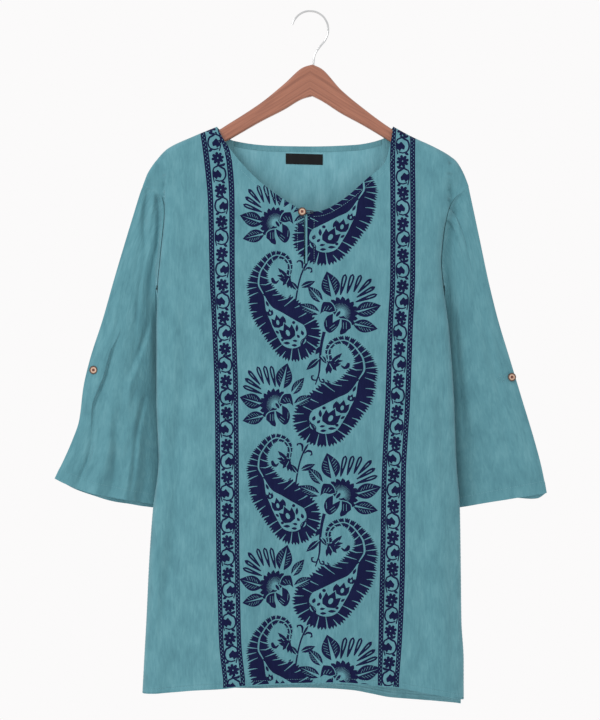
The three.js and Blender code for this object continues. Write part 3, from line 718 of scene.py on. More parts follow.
def strip(line, half):
    """A strip along a line, by its half width."""
    ahead = np.gradient(line)
    across = 1j * ahead / np.abs(ahead)
    return np.concatenate([line - across * half, (line + across * half)[::-1]])


def turned(degrees):
    return np.exp(1j * math.radians(degrees))


def oval(centre, wide, tall, degrees, count=10):
    angle = np.arange(count) * 2 * np.pi / count
    return centre + turned(degrees) * (wide / 2 * np.cos(angle) + 1j * tall / 2 * np.sin(angle))


def closed(points):
    """A smooth closed outline through a few points."""
    points = np.asarray(list(points) + [points[0]], complex)
    return line_of(points, 4 * len(points))[:-1]


def grown(shape, margin):
    """The same outline, a little larger all round."""
    middle = shape.mean()
    return middle + (shape - middle) * (1 + margin / np.abs(shape - middle))


def leaf(start, degrees, length, wide, vein, ribs, teeth=0.86):
    """A leaf, perhaps with a bare middle vein and side ribs; teeth=1 makes its edge smooth."""
    t = np.linspace(0, 1, 17)
    half = wide / 2 * np.sin(np.pi * t**0.85)
    half[1:-1:2] *= teeth
    shape = np.concatenate([t * length - 1j * half, (t * length + 1j * half)[-2:0:-1]])
    parts = [(INK, start + turned(degrees) * shape)]
    if vein:
        v = np.linspace(-0.02, 0.88, 6)
        width = vein * (0.9 - v)
        parts.append((BARE, start + turned(degrees) * strip(v * length + 0j, width)))
    for k in range(ribs):
        at = 0.24 + 0.42 * k / max(ribs - 1, 1)
        room = wide / 2 * math.sin(math.pi * at**0.85)
        for side in (1, -1):
            rib = at * length + np.array([0.3j * room * side, length * 0.1 + 0.74j * room * side])
            parts.append((BARE, start + turned(degrees) * strip(rib, 0.24)))
    return parts


def tulip(foot, degrees, size):
    """A three-pointed flower with a bare drop in it."""
    edge = [0, 0.34 + 0.1j, 0.45 + 0.36j, 0.42 + 0.82j, 0.22 + 0.66j, 0.02 + 1.05j,
            -0.2 + 0.66j, -0.42 + 0.82j, -0.45 + 0.36j, -0.34 + 0.1j]
    turn = turned(degrees - 90)
    flower = foot + turn * size * np.array(edge)
    drop = oval(foot + turn * 0.42j * size, 0.24 * size, 0.4 * size, degrees - 90, 8)
    return [(INK, flower), (BARE, drop)]


def moved(parts, place, mirror=False, squeeze=1):
    side = -squeeze if mirror else squeeze
    return [(kind, place + side * shape.real + 1j * shape.imag) for kind, shape in parts]


def counterclockwise(shape):
    """The cutter below takes every outline in this sense."""
    area = np.sum((np.conj(shape) * np.roll(shape, -1)).imag)
    return shape if area > 0 else shape[::-1]


# %% [markdown]
# A paisley is a comma: a spine that leaves a round base and curls over. The table gives, at each
# point of the spine, how far the feathers reach on the outer and inner side, and how wide the
# bare drop in the middle is. Feathers are cells 8 to 14 mm wide with three teeth each.

# %% Paisley
# x, z, outer reach, inner reach, bare outer, bare inner
SPINE = [
    (-11, 3, 33, 38, 20, 20), (-29, 24, 31, 36, 13.5, 10), (-42, 37, 26, 31, 5.5, 5),
    (-50.5, 58, 22, 18, 0.6, 0.6), (-57.5, 73, 15, 14.5, 0.5, 0.5), (-56, 86, 11, 11, 0.5, 0.5),
    (-49.6, 98, 8.5, 8, 0.5, 0.5), (-41.5, 108, 7, 6.5, 0.5, 0.5),
    (-32.4, 112.6, 5.6, 5.2, 0.5, 0.5), (-23, 110.3, 5, 3.8, 0.5, 0.5),
    (-16.3, 103.5, 4.5, 3.2, 0.5, 0.5), (-13.4, 96, 3, 3.5, 0.4, 0.4),
    (-14.6, 84, 2, 4.5, 0.3, 0.3), (-15, 70, 0.8, 1.5, 0.3, 0.3),
]
CELL_MIN, CELL_MORE = 7.0, 0.18  # a cell's width, and how much it grows with the reach
# across a cell, and how far the edge goes out there; a short reach has shorter teeth
TEETH = [
    (0.0, -4.2), (0.07, -1.0), (0.2, 1.6), (0.34, -2.0), (0.5, 2.6), (0.62, -2.0), (0.8, 2.2),
    (0.93, -1.0),
]
TEETH_FULL = 15


def paisley():
    spine = np.array([row[0] + 1j * row[1] for row in SPINE])
    run = np.concatenate([[0], np.cumsum(np.abs(np.diff(spine)))])
    s = np.linspace(0, run[-1], 140)
    line = curve(run, spine.real)(s) + 1j * curve(run, spine.imag)(s)
    outer, inner, bare_out, bare_in = (curve(run, column(SPINE, k))(s) for k in (2, 3, 4, 5))
    ahead = np.gradient(line)
    left = 1j * ahead / np.abs(ahead)
    # the round base, from the outer side to the inner one
    swing = np.linspace(0, 1, 40)[1:-1]
    cap = left[0] * turned(180) ** swing
    cap_reach = mix(outer[0], inner[0], swing) + 3 * np.sin(np.pi * swing)
    cap_bare = mix(bare_out[0], bare_in[0], swing)
    rays = np.concatenate([left[::-1], cap, -left])
    feet = np.concatenate([line[::-1], cap * 0 + line[0], line])
    reach = np.concatenate([outer[::-1], cap_reach, inner])
    tips = feet + rays * reach
    pace = np.abs(np.diff(tips)) / (CELL_MIN + CELL_MORE * reach[1:])
    length = np.concatenate([[0], np.cumsum(pace)])
    cells = int(length[-1])
    width = length[-1] / cells

    def at(place, inward):
        """A point in from the feathers' edge by a share of their reach."""
        return mix(np.interp(place, length, tips), np.interp(place, length, feet), inward)

    edge = []
    for c in range(cells):
        for across, out in TEETH:
            here = np.interp((c + across) * width, length, reach)
            edge.append(at((c + across) * width, -out * min(1, here / TEETH_FULL) / here))
    parts = [(INK, np.array(edge + [at(length[-1], 0.0)]))]
    for c in range(1, cells):
        here = np.interp(c * width, length, reach)
        # short feathers are cut through, and long ones only at their ends
        deep = mix(1.0, (0.42, 0.28, 0.5)[c % 3], smooth(10, 27, here))
        slit = np.array([at((c + 0.2) * width, deep), at((c + 0.07) * width, deep / 2),
                         at(c * width, -0.02)])
        parts.append((BARE, strip(slit, np.array([0.25, 0.6, 1.0]))))
    drop = s <= run[3]
    round_end = line[0] + cap[::2] * cap_bare[::2]
    bare_left = (line + left * bare_out)[drop][::-3]
    bare_right = (line - left * bare_in)[drop][::3]
    parts.append((BARE, np.concatenate([bare_left, round_end, bare_right])))
    tail = s[~drop][::3]
    half = np.interp(tail, [run[3], run[4], run[6], run[-1]], [0.6, 1.2, 0.9, 0.6])
    parts.append((BARE, strip(line[~drop][::3], half)))
    return parts + paisley_inside()


def paisley_inside():
    """Three tulips, leaves and dots inside the bare drop, and the flower that ends the curl."""
    parts = [(INK, oval(5 - 7.5j, 7.5, 12, -40)), (BARE, oval(5 - 7.5j, 5.2, 9.4, -40)),
             (INK, oval(4.6 - 7.8j, 2.4, 6, -38, 8))]
    parts += leaf(-0.5 - 17j, 63, 21.5, 3.2, vein=0, ribs=0)
    parts += tulip(-13 - 4.5j, 113, 23) + tulip(-29 + 11.5j, 103, 18) + tulip(-40 + 28j, 108, 10)
    small = [
        (-43.5 + 41j, 115, 9, 3.6), (-20 + 17.5j, 111, 12, 4.4), (-4.5 + 6j, 88, 10.5, 4.4),
        (-29 + 3.5j, 140, 6.5, 3.6), (4.5 + 1j, 110, 7.5, 4.6), (-0.5 - 2.5j, 130, 6, 4),
        (-13.5 - 9.8j, 178, 10, 4.2), (-3.5 - 7j, 172, 7, 3.6), (-4 - 13j, 176, 8, 4),
    ]
    for start, degrees, length, wide in small:
        parts += leaf(start, degrees, length, wide, vein=0, ribs=0)
    parts += [(INK, oval(-8.8 + 18.8j, 4.6, 4.6, 0, 8)), (INK, oval(-24.3 - 5j, 4.4, 4.4, 0, 8))]
    for start, degrees, length, wide in [
        (-17 + 80j, 133, 20, 6.5), (-17 + 82j, 172, 15, 5.5), (-18 + 76j, 160, 12, 5.5),
        (-14.5 + 84j, 236, 17, 7.5), (-14.5 + 83j, 262, 17, 7), (-13.5 + 78j, 277, 13, 4.5),
    ]:
        parts += leaf(start, degrees, length, wide, vein=0, ribs=0)
    comma = line_of([-38.5 + 81j, -37 + 76j, -33.5 + 74j, -29.5 + 77.5j], 7)
    parts.append((INK, strip(comma, np.array([1.4, 2.2, 2.6, 2.4, 1.8, 1.2, 0.6]))))
    for start, stop in ((-22 + 83j, -27 + 88j), (-15.5 + 80j, -19 + 73j)):
        parts.append((BARE, strip(np.array([start, (start + stop) / 2, stop]), 0.45)))
    return parts


print("one paisley:", len(paisley()), "parts")

# %% [markdown]
# The spray is an open flower seen from the side: a dark toothed head with bare rays, three lower
# petals, five veined leaves and a fan of looped stamens. Sprigs with small leaves and curls join
# the motifs, as vines do in this kind of print.

# %% Spray and sprigs


def spray():
    parts = []
    # start, degrees, length, width, vein
    for start, degrees, length, wide, vein in [
        (-9.2 + 21.5j, 105, 37.5, 26, 3.6), (-25 + 14.7j, 131.6, 30.7, 14, 2.3),
        (-28.3 - 0.7j, 156.9, 32.6, 15, 2.3), (19.7 + 0.6j, 15.6, 37.9, 21, 1.7),
        (17.2 - 14.8j, -11.8, 35.2, 18, 1.6),
    ]:
        parts += leaf(start, degrees, length, wide, vein, ribs=5, teeth=1)
    # looped stamens: foot, far end, width
    for foot, far, wide in [
        (0 + 25j, 7 + 54j, 9.2), (9 + 27j, 17.5 + 54j, 9.2), (18.4 + 29j, 28.5 + 53j, 8.6),
        (24 + 28j, 43 + 47.5j, 7.8), (22.3 + 21.7j, 48 + 36.5j, 7.8),
        (21 + 15.3j, 51 + 26j, 8.0),
    ]:
        parts += stamen(foot, far, wide)
    # the head: nine broad lobes with blunt teeth, then fine bare rays
    lobes = np.arange(46)
    angles = np.radians(-50 + lobes * 184 / 45)
    reach = np.array([19.5, 22.0, 22.8, 24.2, 22.4])[lobes % 5]
    head = 1 - 1j + reach * np.exp(1j * angles)
    parts.append((INK, np.concatenate([head, [-16 + 8j, -7 - 4j, 4 - 9j]])))
    parts.append((BARE, oval(0.5j, 11, 11, 0, 14)))
    for degrees in range(-40, 140, 9):
        ray = np.array([4, 9, 14]) * turned(degrees)
        parts.append((BARE, strip(ray, np.array([0.42, 0.3, 0.1]))))
    # the petals that hang from the head, each with a bare line round it
    side = closed([-7 + 3j, -9.5 + 10j, -15 + 15j, -23 + 15.5j, -26.5 + 8j, -28 - 1.5j,
                   -22 + 2.5j, -15 + 1j])
    lower = closed([-10.4 - 0.7j, -18.7 - 5j, -23 - 15j, -20.5 - 23.5j, -14.8 - 27.5j, -7 - 22.4j,
                    -2 - 15j, -0.4 - 8j, -6 - 10.5j, -10.7 - 13.5j])
    hanging = closed([1.5 - 8.5j, 8 - 10j, 14 - 15j, 14.5 - 20j, 10 - 24j, 6 - 28j, 0 - 30j,
                      -1 - 27j, 1.5 - 18j])
    for petal in (side, lower, hanging):
        parts += [(BARE, grown(petal, 1.3)), (INK, petal)]
    for start, stop in [
        (-24 + 3j, -21 + 9j), (-20 + 4j, -16 + 10j), (-16 + 4j, -12 + 8j), (-20 - 10j, -19 - 19j),
        (-15 - 21j, -8 - 16j), (-13 - 24j, -6 - 19j), (4 - 13j, 4 - 22j), (8 - 13j, 8 - 22j),
    ]:
        parts.append((BARE, strip(np.array([start, (start + stop) / 2, stop]), 0.3)))
    return parts + [
        (BARE, oval(-3.6 - 1.7j, 7, 14, -38)), (INK, oval(-3.2 - 1.2j, 4.2, 9.5, -38, 9)),
    ]


STAMEN_WALL = 2.6  # how wide the ink is on either side of a stamen's bare drop


def stamen(foot, far, wide):
    """A thread that goes out and comes back: a drop with a bare drop in it."""
    t = np.linspace(0, 1, 11)
    half = wide / 2 * np.sqrt(t) * np.sqrt(1 - t**7)
    half[0], half[-1] = 0.7, 0.5
    inner = half - STAMEN_WALL
    keep = (inner > 0.1) & (t < 0.97)
    line = foot + (far - foot) * t
    return [(INK, strip(line, half)), (BARE, strip(line[keep], inner[keep]))]


def tall_sprig():
    """From the feathers of a paisley up to a free end, with two curls and two leaves."""
    stem = line_of([-6 + 49j, -3 + 67j, 1 + 83j, 5.5 + 94j, 11.5 + 104j], 12)
    parts = [(INK, strip(stem, np.array([1.1] * 9 + [1.3, 1.6, 0.5])))]
    left = line_of([3 + 94j, 3.5 + 101j, 0.5 + 104.5j, -3.5 + 104j, -3.8 + 101.5j], 9)
    right = line_of([6 + 91j, 11 + 94.5j, 15.5 + 93.5j, 16.5 + 89.5j, 14 + 88.5j], 9)
    for twig in (left, right):
        parts.append((INK, strip(twig, np.array([0.8, 1.0, 1.3, 1.6, 1.6, 1.3, 1.0, 1.2, 0.8]))))
    return parts + leaf(0.9 + 68j, 22, 22, 9, 0.8, 0) + leaf(-4 + 64j, 126, 15, 7.5, 0.8, 0)


def low_sprig():
    """Under a spray: a bent stem, leaves to both sides and two curls at its foot."""
    stem = line_of([-22.5 - 26j, -26.3 - 43j, -28.3 - 61j, -29.2 - 80j, -34.7 - 99j], 12)
    parts = [(INK, strip(stem, np.linspace(2.3, 0.8, 12)))]
    parts += leaf(-27 - 46j, 236, 14, 6.5, 0, 0) + leaf(-27 - 59j, -55, 13.5, 6.5, 1.2, 0)
    parts += leaf(-29.5 - 63j, 221.6, 24, 9.5, 0.8, 0)
    left = line_of([-30.5 - 86j, -34 - 93j, -39 - 92j, -40 - 87.5j, -37 - 86.5j], 9)
    right = line_of([-30 - 88j, -27.5 - 95j, -23.5 - 96j, -23 - 92.5j, -26 - 91.5j], 9)
    for twig in (left, right):
        parts.append((INK, strip(twig, np.array([0.7, 0.8, 0.9, 1.0, 1.1, 1.2, 1.3, 1.2, 0.8]))))
    return parts


# place x, place z, mirrored, squeeze: the folds draw the print together on the left
PAISLEYS = [
    (-14, -454, False, 1), (-14, -707, False, 1), (-14, -958, False, 1),
    (9, -321, True, 1.15), (9, -572, True, 1.15), (9, -823.5, True, 1.15),
]
SPRAYS = [
    (42, -422, False, 1), (42, -673, False, 1), (42, -923, False, 1),
    (-48, -297, True, 0.88), (-48, -549, True, 0.88), (-48, -800, True, 0.88),
]

# %% [markdown]
# The border is two dark bands with chains of small bare ovals, and between them a lane of
# eight-petalled flowers and curled leaves. Its edges are given at a few heights, because the
# cloth pulls the printed lines out of straight as it hangs.

# %% Borders
# height, left border's inner and outer edge, right border's inner and outer edge
BORDER_EDGES = [
    (-929, -89.3, -119.7, 93.2, 122.8), (-874, -94.9, -125.7, 94.2, 127.0),
    (-819, -96.3, -127.4, 95.3, 129.8), (-764, -97.4, -129.3, 96.7, 131.3),
    (-653, -98.3, -130.6, 98.7, 132.2), (-543, -99.2, -131.8, 104.0, 138.4),
    (-432, -102.8, -136.1, 107.8, 142.8), (-376, -104.3, -139.0, 111.0, 145.8),
    (-264, -104.8, -142.1, 111.5, 146.5), (-209, -108.7, -147.5, 111.3, 146.1),
    (-161, -124.6, -154, 113.4, 147),
]
BAND_SHARE, CHAIN_STEP = 0.205, 5.2
BORDER_LOW, BORDER_HIGH = -968, -155
LANE_LEFT, LANE_RIGHT = (-206.1, 44.25), (-210.4, 43.4)  # the first flower's height, and the step


def border(inner, outer, facing, top, step):
    """Facing is 1 on the left and -1 on the right; the flowers start at top, a step apart."""
    def at(share, z):
        return mix(inner(z), outer(z), share) + 1j * z

    parts = []
    heights = np.linspace(BORDER_LOW, BORDER_HIGH, 60)
    for start, stop in ((0, BAND_SHARE), (1 - BAND_SHARE, 1)):
        band_edge = np.concatenate([at(start, heights), at(stop, heights)[::-1]])
        parts.append((INK, band_edge))
        for chain in (0.34, 0.68):
            share = mix(start, stop, chain)
            first = BORDER_LOW + (CHAIN_STEP / 2 if chain > 0.5 else 0)
            for z in np.arange(first, BORDER_HIGH, CHAIN_STEP):
                parts.append((BARE, oval(at(share, z), 0.9, 2.1, 12 * facing, 6)))
    for k in range(-1, int((top - BORDER_LOW) / step) + 1):
        parts += lane_flower(at(0.5, top - k * step))
        parts += moved(lane_scroll(), at(0.5, top - (k + 0.5) * step), mirror=k % 2 == (facing < 0))
    return parts


def lane_flower(centre):
    angle = np.arange(48) * 2 * np.pi / 48
    reach = 5.6 + 3.2 * np.abs(np.cos(4 * angle)) ** 0.6
    shape = centre + reach * np.exp(1j * angle) * turned(12)
    return [(INK, shape), (BARE, oval(centre, 2.0, 2.0, 0, 6))]


def lane_scroll():
    """An open ring of vine, and a lobed leaf that hangs inside it from the other side."""
    ring = line_of([3 + 14j, -2 + 9.5j, -7 + 6.5j, -8.8 - 1j, -6 - 8j, 0 - 10.2j, 6 - 8.5j], 15)
    stalk = line_of([-5 + 13j, 3 + 11j, 8.6 + 7j, 9 - 1j, 7 - 12j], 9)
    lobed = closed([9.2 + 5j, 5.5 + 3j, 2.5 + 5.5j, -0.5 + 2.5j, -3 - 1j, -1.5 - 5.5j, 2 - 4.5j,
                    4 - 7.5j, 7 - 5j, 9.2 - 4j])
    return [
        (INK, strip(ring, np.linspace(1.5, 0.9, 15))),
        (INK, strip(stalk, np.linspace(1.3, 0.8, 9))),
        (INK, lobed), *leaf(-8 + 15j, -40, 7, 4, 0, 0), *leaf(-8 - 13j, 30, 7, 4, 0, 0),
    ]


border_line = [table_curve(BORDER_EDGES, k) for k in range(1, 5)]
PRINT_END = 1.5  # the print stops this far above the hem's edge
PANEL_LEFT, PANEL_RIGHT, BELOW_PANEL = -238, 220, -975  # a box that holds the whole hem
block = border(*border_line[:2], 1, *LANE_LEFT) + border(*border_line[2:], -1, *LANE_RIGHT)
for motif, sprig, places in ((paisley, tall_sprig, PAISLEYS), (spray, low_sprig, SPRAYS)):
    for x, z, mirror, squeeze in places:
        if not mirror:
            block += moved(sprig(), x + 1j * z)
        block += moved(motif(), x + 1j * z, mirror, squeeze)
low_x = np.linspace(PANEL_LEFT, PANEL_RIGHT, 40)
low_edge = low_x + 1j * (hem_front(low_x) + PRINT_END)
below = np.array([PANEL_LEFT, PANEL_RIGHT]) + 1j * BELOW_PANEL
block.append((BARE, np.concatenate([below, low_edge[::-1]])))
block = [(kind, counterclockwise(np.array(shape))) for kind, shape in block]
print("the block:", len(block), "parts,", sum(len(shape) for _, shape in block), "points")

# %% [markdown]
# ## The front
# The panel is cut into triangles along every printed line, so ink and bare cloth meet in a clean
# edge at any size. A constrained Delaunay cut takes the panel's outline, the printed parts and
# a plain grid at once, and says for each triangle which parts it lies in.

# %% Front panel
SLIT_STEP = 3.0  # between the points of the slit's edges
LIP_CLEAR, GRID_CLEAR = 0.3, 2.2  # how far the neckline's and the grid's points keep off the slit


def front_outline():
    """Round the panel: hem, right side, shoulder, neckline with the slit in it, left side."""
    neck_t = np.linspace(NECK_SHARE, -NECK_SHARE, 150)
    shoulder_t = ACROSS[ACROSS > NECK_SHARE + 0.001]
    top = front_map(np.concatenate([shoulder_t[::-1], neck_t, -shoulder_t]), 1.0)
    slit_left, slit_right = SLIT_X - SLIT_WIDE / 2, SLIT_X + SLIT_WIDE / 2
    keep_right, keep_left = top[:, 0] > slit_right + LIP_CLEAR, top[:, 0] < slit_left - LIP_CLEAR
    neck_z = np.interp([slit_right, slit_left], top[::-1, 0], top[::-1, 1])
    depth = np.arange(neck_z[0], SLIT_BOTTOM, -SLIT_STEP)
    down = np.stack([np.full(len(depth), slit_right), depth], -1)
    up = np.stack([np.full(len(depth), slit_left), depth[::-1]], -1)
    up[-1, 1] = neck_z[1]
    foot = [[slit_right, SLIT_BOTTOM], [slit_left, SLIT_BOTTOM]]
    hem_row = front_map(ACROSS, 0.0)
    right, left = front_map(1.0, UP_FRONT[1:-1]), front_map(-1.0, UP_FRONT[1:-1][::-1])
    return np.vstack([hem_row, right, top[keep_right], down, foot, up, top[keep_left], left])


outline = front_outline()
inside = front_map(ACROSS[None, 1:-1], UP_FRONT[1:-1, None]).reshape(-1, 2)
near_slit = (np.abs(inside[:, 0] - SLIT_X) < GRID_CLEAR) & (inside[:, 1] > SLIT_BOTTOM - 2)
inside = inside[~near_slit]
loops = [outline] + [np.stack([shape.real, shape.imag], -1) for _, shape in block]
starts = np.cumsum([0] + [len(loop) for loop in loops])
flat_points = np.vstack(loops + [inside])
parts_of = [list(range(a, b)) for a, b in zip(starts[:-1], starts[1:])]
cut = delaunay_2d_cdt([Vector(p) for p in flat_points], [], parts_of, 1, 1e-4, True)
faces, slots = [], []
for face, owners in zip(cut[2], cut[5]):
    if 0 in owners:
        top_part = max(owners)
        faces.append(list(face))
        slots.append(block[top_part - 1][0] if top_part else BARE)
used = sorted({k for face in faces for k in face})
renumber = {old: new for new, old in enumerate(used)}
faces = [[renumber[k] for k in face] for face in faces]
flat_front = np.array([cut[0][k][:] for k in used])
outer, inner, facing = panel_points(flat_front, front_sheet, -1)
front_cloth = make_shell(
    "front_cloth", outer, inner, facing, faces, [cotton_teal, cotton_navy], slots, flat_front
)
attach(front_cloth, "root")
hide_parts("front")
print("front panel:", len(front_cloth.data.polygons), "faces")

# %% [markdown]
# ## The sleeves
# Each sleeve is one cut piece closed by a seam under the arm, so it is a flat tube: round at its
# folds, a little puffed, and blended into the armhole at its top. The tables follow the outer
# and the inner fold from the armhole down to the cuff.

# %% Sleeve shapes
# half the depth of a sleeve, its share at the top, and how blunt and how flat its section is
PUFF, PUFF_TOP, LENS_SHARP, LENS_SHARE, FRONT_FLAT = 15, 0.5, 0.35, 0.25, 0.4
# along: where the armhole's blend ends and the creases begin; its rim lies this far outside
BLEND_END, CREASE_START, RIM_OUT, RIM_TIP_OUT = 0.3, 0.04, 0.8, -0.5
SLEEVE_WIDE, SLEEVE_LONG = 170, 450  # for the ripple and the cloth's map
SLEEVE_RIPPLE, SLEEVE_SHIFT = 1.2, 900  # against the panels' ripple: strength and place
CREASE_WANDER, CREASE_IN, CREASE_OUT = 0.012, 0.15, 0.12  # shares: sideways, fading in and out
EDGE_SOFT = 0.06  # no relief on the folds themselves
PLEAT_EDGE, PLEAT_BACK = (-0.008, 0.005), (0.02, 0.2)  # across: a sharp rise, then a slow fall
GROOVE_AT, GROOVE_WIDE, GROOVE_SHARE = 0.016, 0.014, 0.5
# the folds' rows are x, y, z; a hem's are the place across and how far it hangs lower
LEFT_SLEEVE = {
    "outer": [
        (-233, -13, -245), (-241, -12, -263), (-250, -9, -294), (-274, -5, -375),
        (-290, -4, -431), (-308, -3, -487), (-317, -2, -525), (-323, -1, -571),
        (-333, 0, -600), (-357, 0, -653),
    ],
    "inner": [
        (-215, -12, -383), (-216, -2, -396), (-210, 9, -420), (-196, 18, -480),
        (-186, 20, -590), (-181, 21, -698),
    ],
    "hem_front": [(0, 0), (0.25, 2), (0.75, 7), (0.93, 3), (1, 0)],
    "hem_back": [(0, 0), (0.25, 8), (0.6, 13), (0.82, 9), (1, 0)],
    # across, width, depth, and where along it starts
    "folds": [
        (0.8, 0.07, 3.5, 0.3), (0.68, 0.07, -4, 0.55), (0.55, 0.07, 3.5, 0.5),
        (0.43, 0.06, -4, 0.42), (0.32, 0.06, 3, 0.55),
    ],
    # across at the top and the cuff, from, to, width, depth (+ is a trough)
    "creases": [
        (0.62, 0.50, 0.10, 0.60, 0.035, 1.2), (0.86, 0.84, 0.30, 0.60, 0.03, -1.2),
        (0.30, 0.36, 0.18, 0.60, 0.05, -1.0), (0.20, 0.16, 0.45, 0.98, 0.05, 1.0),
    ],
    # in millimetres, as on the front
    "front_creases": [
        (-214, -211, -226, -365, 4.5, 5.6), (-224, -232, -224, -340, 3.5, 4.6),
        (-212, -225, -305, -430, 6, 4.4), (-219, -221, -235, -330, 2.5, -1.6),
        (-231, -239, -240, -330, 5, -1.8), (-226, -250, -420, -520, 4.5, 3.6),
        (-243, -257, -485, -580, 6, -3.0), (-229, -258, -535, -690, 4, 3.6),
        (-266, -280, -555, -675, 6, 4.6), (-257, -264, -565, -650, 6, -3.0),
        (-302, -326, -585, -672, 3.5, 3.8), (-296, -318, -585, -668, 4.5, -3.0),
    ],
    # along, across, height: an edge where an outer pleat of cloth lies over
    "pleat": [(0.42, 0.755, 0), (0.47, 0.778, 1.4), (0.53, 0.812, 3.0), (0.60, 0.815, 3.6),
              (0.67, 0.85, 3.6), (0.735, 0.886, 3.0), (0.78, 0.878, 1.6), (0.83, 0.86, 0)],
    "rim": (edge_left, rear_left), "side": -1,
}
RIGHT_SLEEVE = {
    "outer": [
        (221, -13, -245), (225, -12, -264), (237, -8, -319), (249, -5, -375), (263, -3, -431),
        (280, -2, -487), (297, -1, -543), (314, 0, -599), (325, 0, -641), (331, 0, -673),
    ],
    "inner": [
        (189, -12, -383), (188.5, -1, -396), (188, 9, -420), (179, 19, -480), (171, 22, -590),
        (168, 24, -702),
    ],
    "hem_front": [(0, 0), (0.5, -1), (1, 0)],
    "hem_back": [(0, 0), (0.6, -4), (0.93, 6), (1, 0)],
    "folds": [(0.3, 0.08, -3, 0.35), (0.5, 0.12, 2.5, 0.4)],
    "creases": [
        (0.40, 0.34, 0.12, 0.80, 0.05, 1.5), (0.64, 0.62, 0.45, 1.0, 0.05, -1.3),
        (0.80, 0.76, 0.30, 0.9, 0.04, 1.2), (0.22, 0.20, 0.4, 1.0, 0.05, 1.4),
        (0.52, 0.50, 0.55, 0.95, 0.03, 1.0),
    ],
    "front_creases": [(202, 191, -222, -385, 8, 4.6), (226, 240, -300, -440, 9, 1.2)],
    "pleat": [(0, 0.9, 0), (1, 0.9, 0)],
    "rim": (edge_right, rear_right), "side": 1,
}
SLEEVE_ROWS, SLEEVE_ROUND = 124, 300


def sleeve_sheet(cut):
    outer_fold, inner_fold = trace(cut["outer"]), trace(cut["inner"])
    pleat_line = table_curve(cut["pleat"], 1)
    pleat_high = table_curve(cut["pleat"], 2)
    drops = [table_curve(cut[key], 1) for key in ("hem_front", "hem_back")]

    def place(along, around):
        """Around: 0 is the inner fold, 0.5 the outer one, with the front between them."""
        wide = (1 - np.cos(2 * np.pi * around)) / 2
        front = around <= 0.5
        behind = np.where(front, mix(FRONT_FLAT, 1, smooth(0, 0.5, wide)), 1)
        round_ = np.abs(np.sin(2 * np.pi * around))
        lens = (LENS_SHARE * round_**LENS_SHARP + (1 - LENS_SHARE) * round_ * round_) * behind
        puff = PUFF * mix(PUFF_TOP, 1, smooth(0, 0.5, along)) * lens
        relief = sum(
            deep * np.exp(-(((wide - at) / width) ** 2)) * smooth(start, 1, along)
            for at, width, deep, start in cut["folds"]
        )
        for at, low, start, stop, width, deep in cut["creases"]:
            wander = CREASE_WANDER * np.sin(9 * along + 20 * at)
            off = (wide - mix(at, low, along) - wander) / width
            begin = smooth(start, start + CREASE_IN, along)
            end = smooth(stop + 0.02, stop - CREASE_OUT, along)
            relief = relief + deep * np.exp(-off * off) * (begin * end)
        past, high = wide - pleat_line(along), pleat_high(along)
        flap = smooth(*PLEAT_EDGE, past) * (1 - smooth(*PLEAT_BACK, past))
        groove = np.exp(-(((past + GROOVE_AT) / GROOVE_WIDE) ** 2))
        relief = relief - high * flap + GROOVE_SHARE * high * groove
        near_fold = smooth(0, EDGE_SOFT, wide) * smooth(1, 1 - EDGE_SOFT, wide)
        crinkle = ripple(wide * SLEEVE_WIDE + SLEEVE_SHIFT * cut["side"], along * SLEEVE_LONG)
        relief = (relief + SLEEVE_RIPPLE * crinkle) * near_fold
        x, y, z = np.moveaxis(mix(inner_fold(along), outer_fold(along), wide[..., None]), -1, 0)
        y = np.where(front, y - puff + relief, y + puff - relief)
        drop = np.where(front, drops[0](wide), drops[1](wide))
        z = z - drop * smooth(0.75, 1, along)
        fade = (1 - np.clip(along / BLEND_END, 0, 1)) ** 2
        rim_z = mix(UNDERARM, SHOULDER_TIP, wide)
        out = mix(RIM_OUT, RIM_TIP_OUT, smooth(0.85, 1, wide)) * cut["side"]
        rim_x = np.where(front, *(line(rim_z) + out for line in cut["rim"]))
        front_flat, back_flat = (
            flatness(rim_x, rim_z, sharp) for sharp in (SIDE_ROUND_FRONT, SIDE_ROUND_BACK)
        )
        rim_y = np.where(
            front, plain_front_y(rim_x, rim_z, front_flat), plain_back_y(rim_x, rim_z, back_flat)
        )
        x, y, z = mix(x, rim_x, fade), mix(y, rim_y, fade), mix(z, rim_z, fade)
        seen = creases(cut["front_creases"], x, z) * near_fold * smooth(0, CREASE_START, along)
        return np.stack([x, np.where(front, y + seen, y), z], -1)

    return place


def sleeve_facing(place, side, along, around, step):
    """The way that a sleeve's cloth faces, from the sheet's slope along and around."""
    down = place(along + step, around) - place(along - step, around)
    across = place(along, around + step) - place(along, around - step)
    return unit(np.cross(down, across) * side)


# %% Sleeve cloth
# the turned cuff: its depth as a share of the sleeve's length, and how much thicker it lies
CUFF_DEEP, CUFF_RAISE = 0.043, 0.5
CUFF_SOFT, CUFF_SEW, CUFF_PULL = 0.003, 0.004, 0.45  # edge, stitches, how deep they pull in
FINE_FROM, FINE_ROWS = 0.94, 16  # the rows lie closer at the cuff


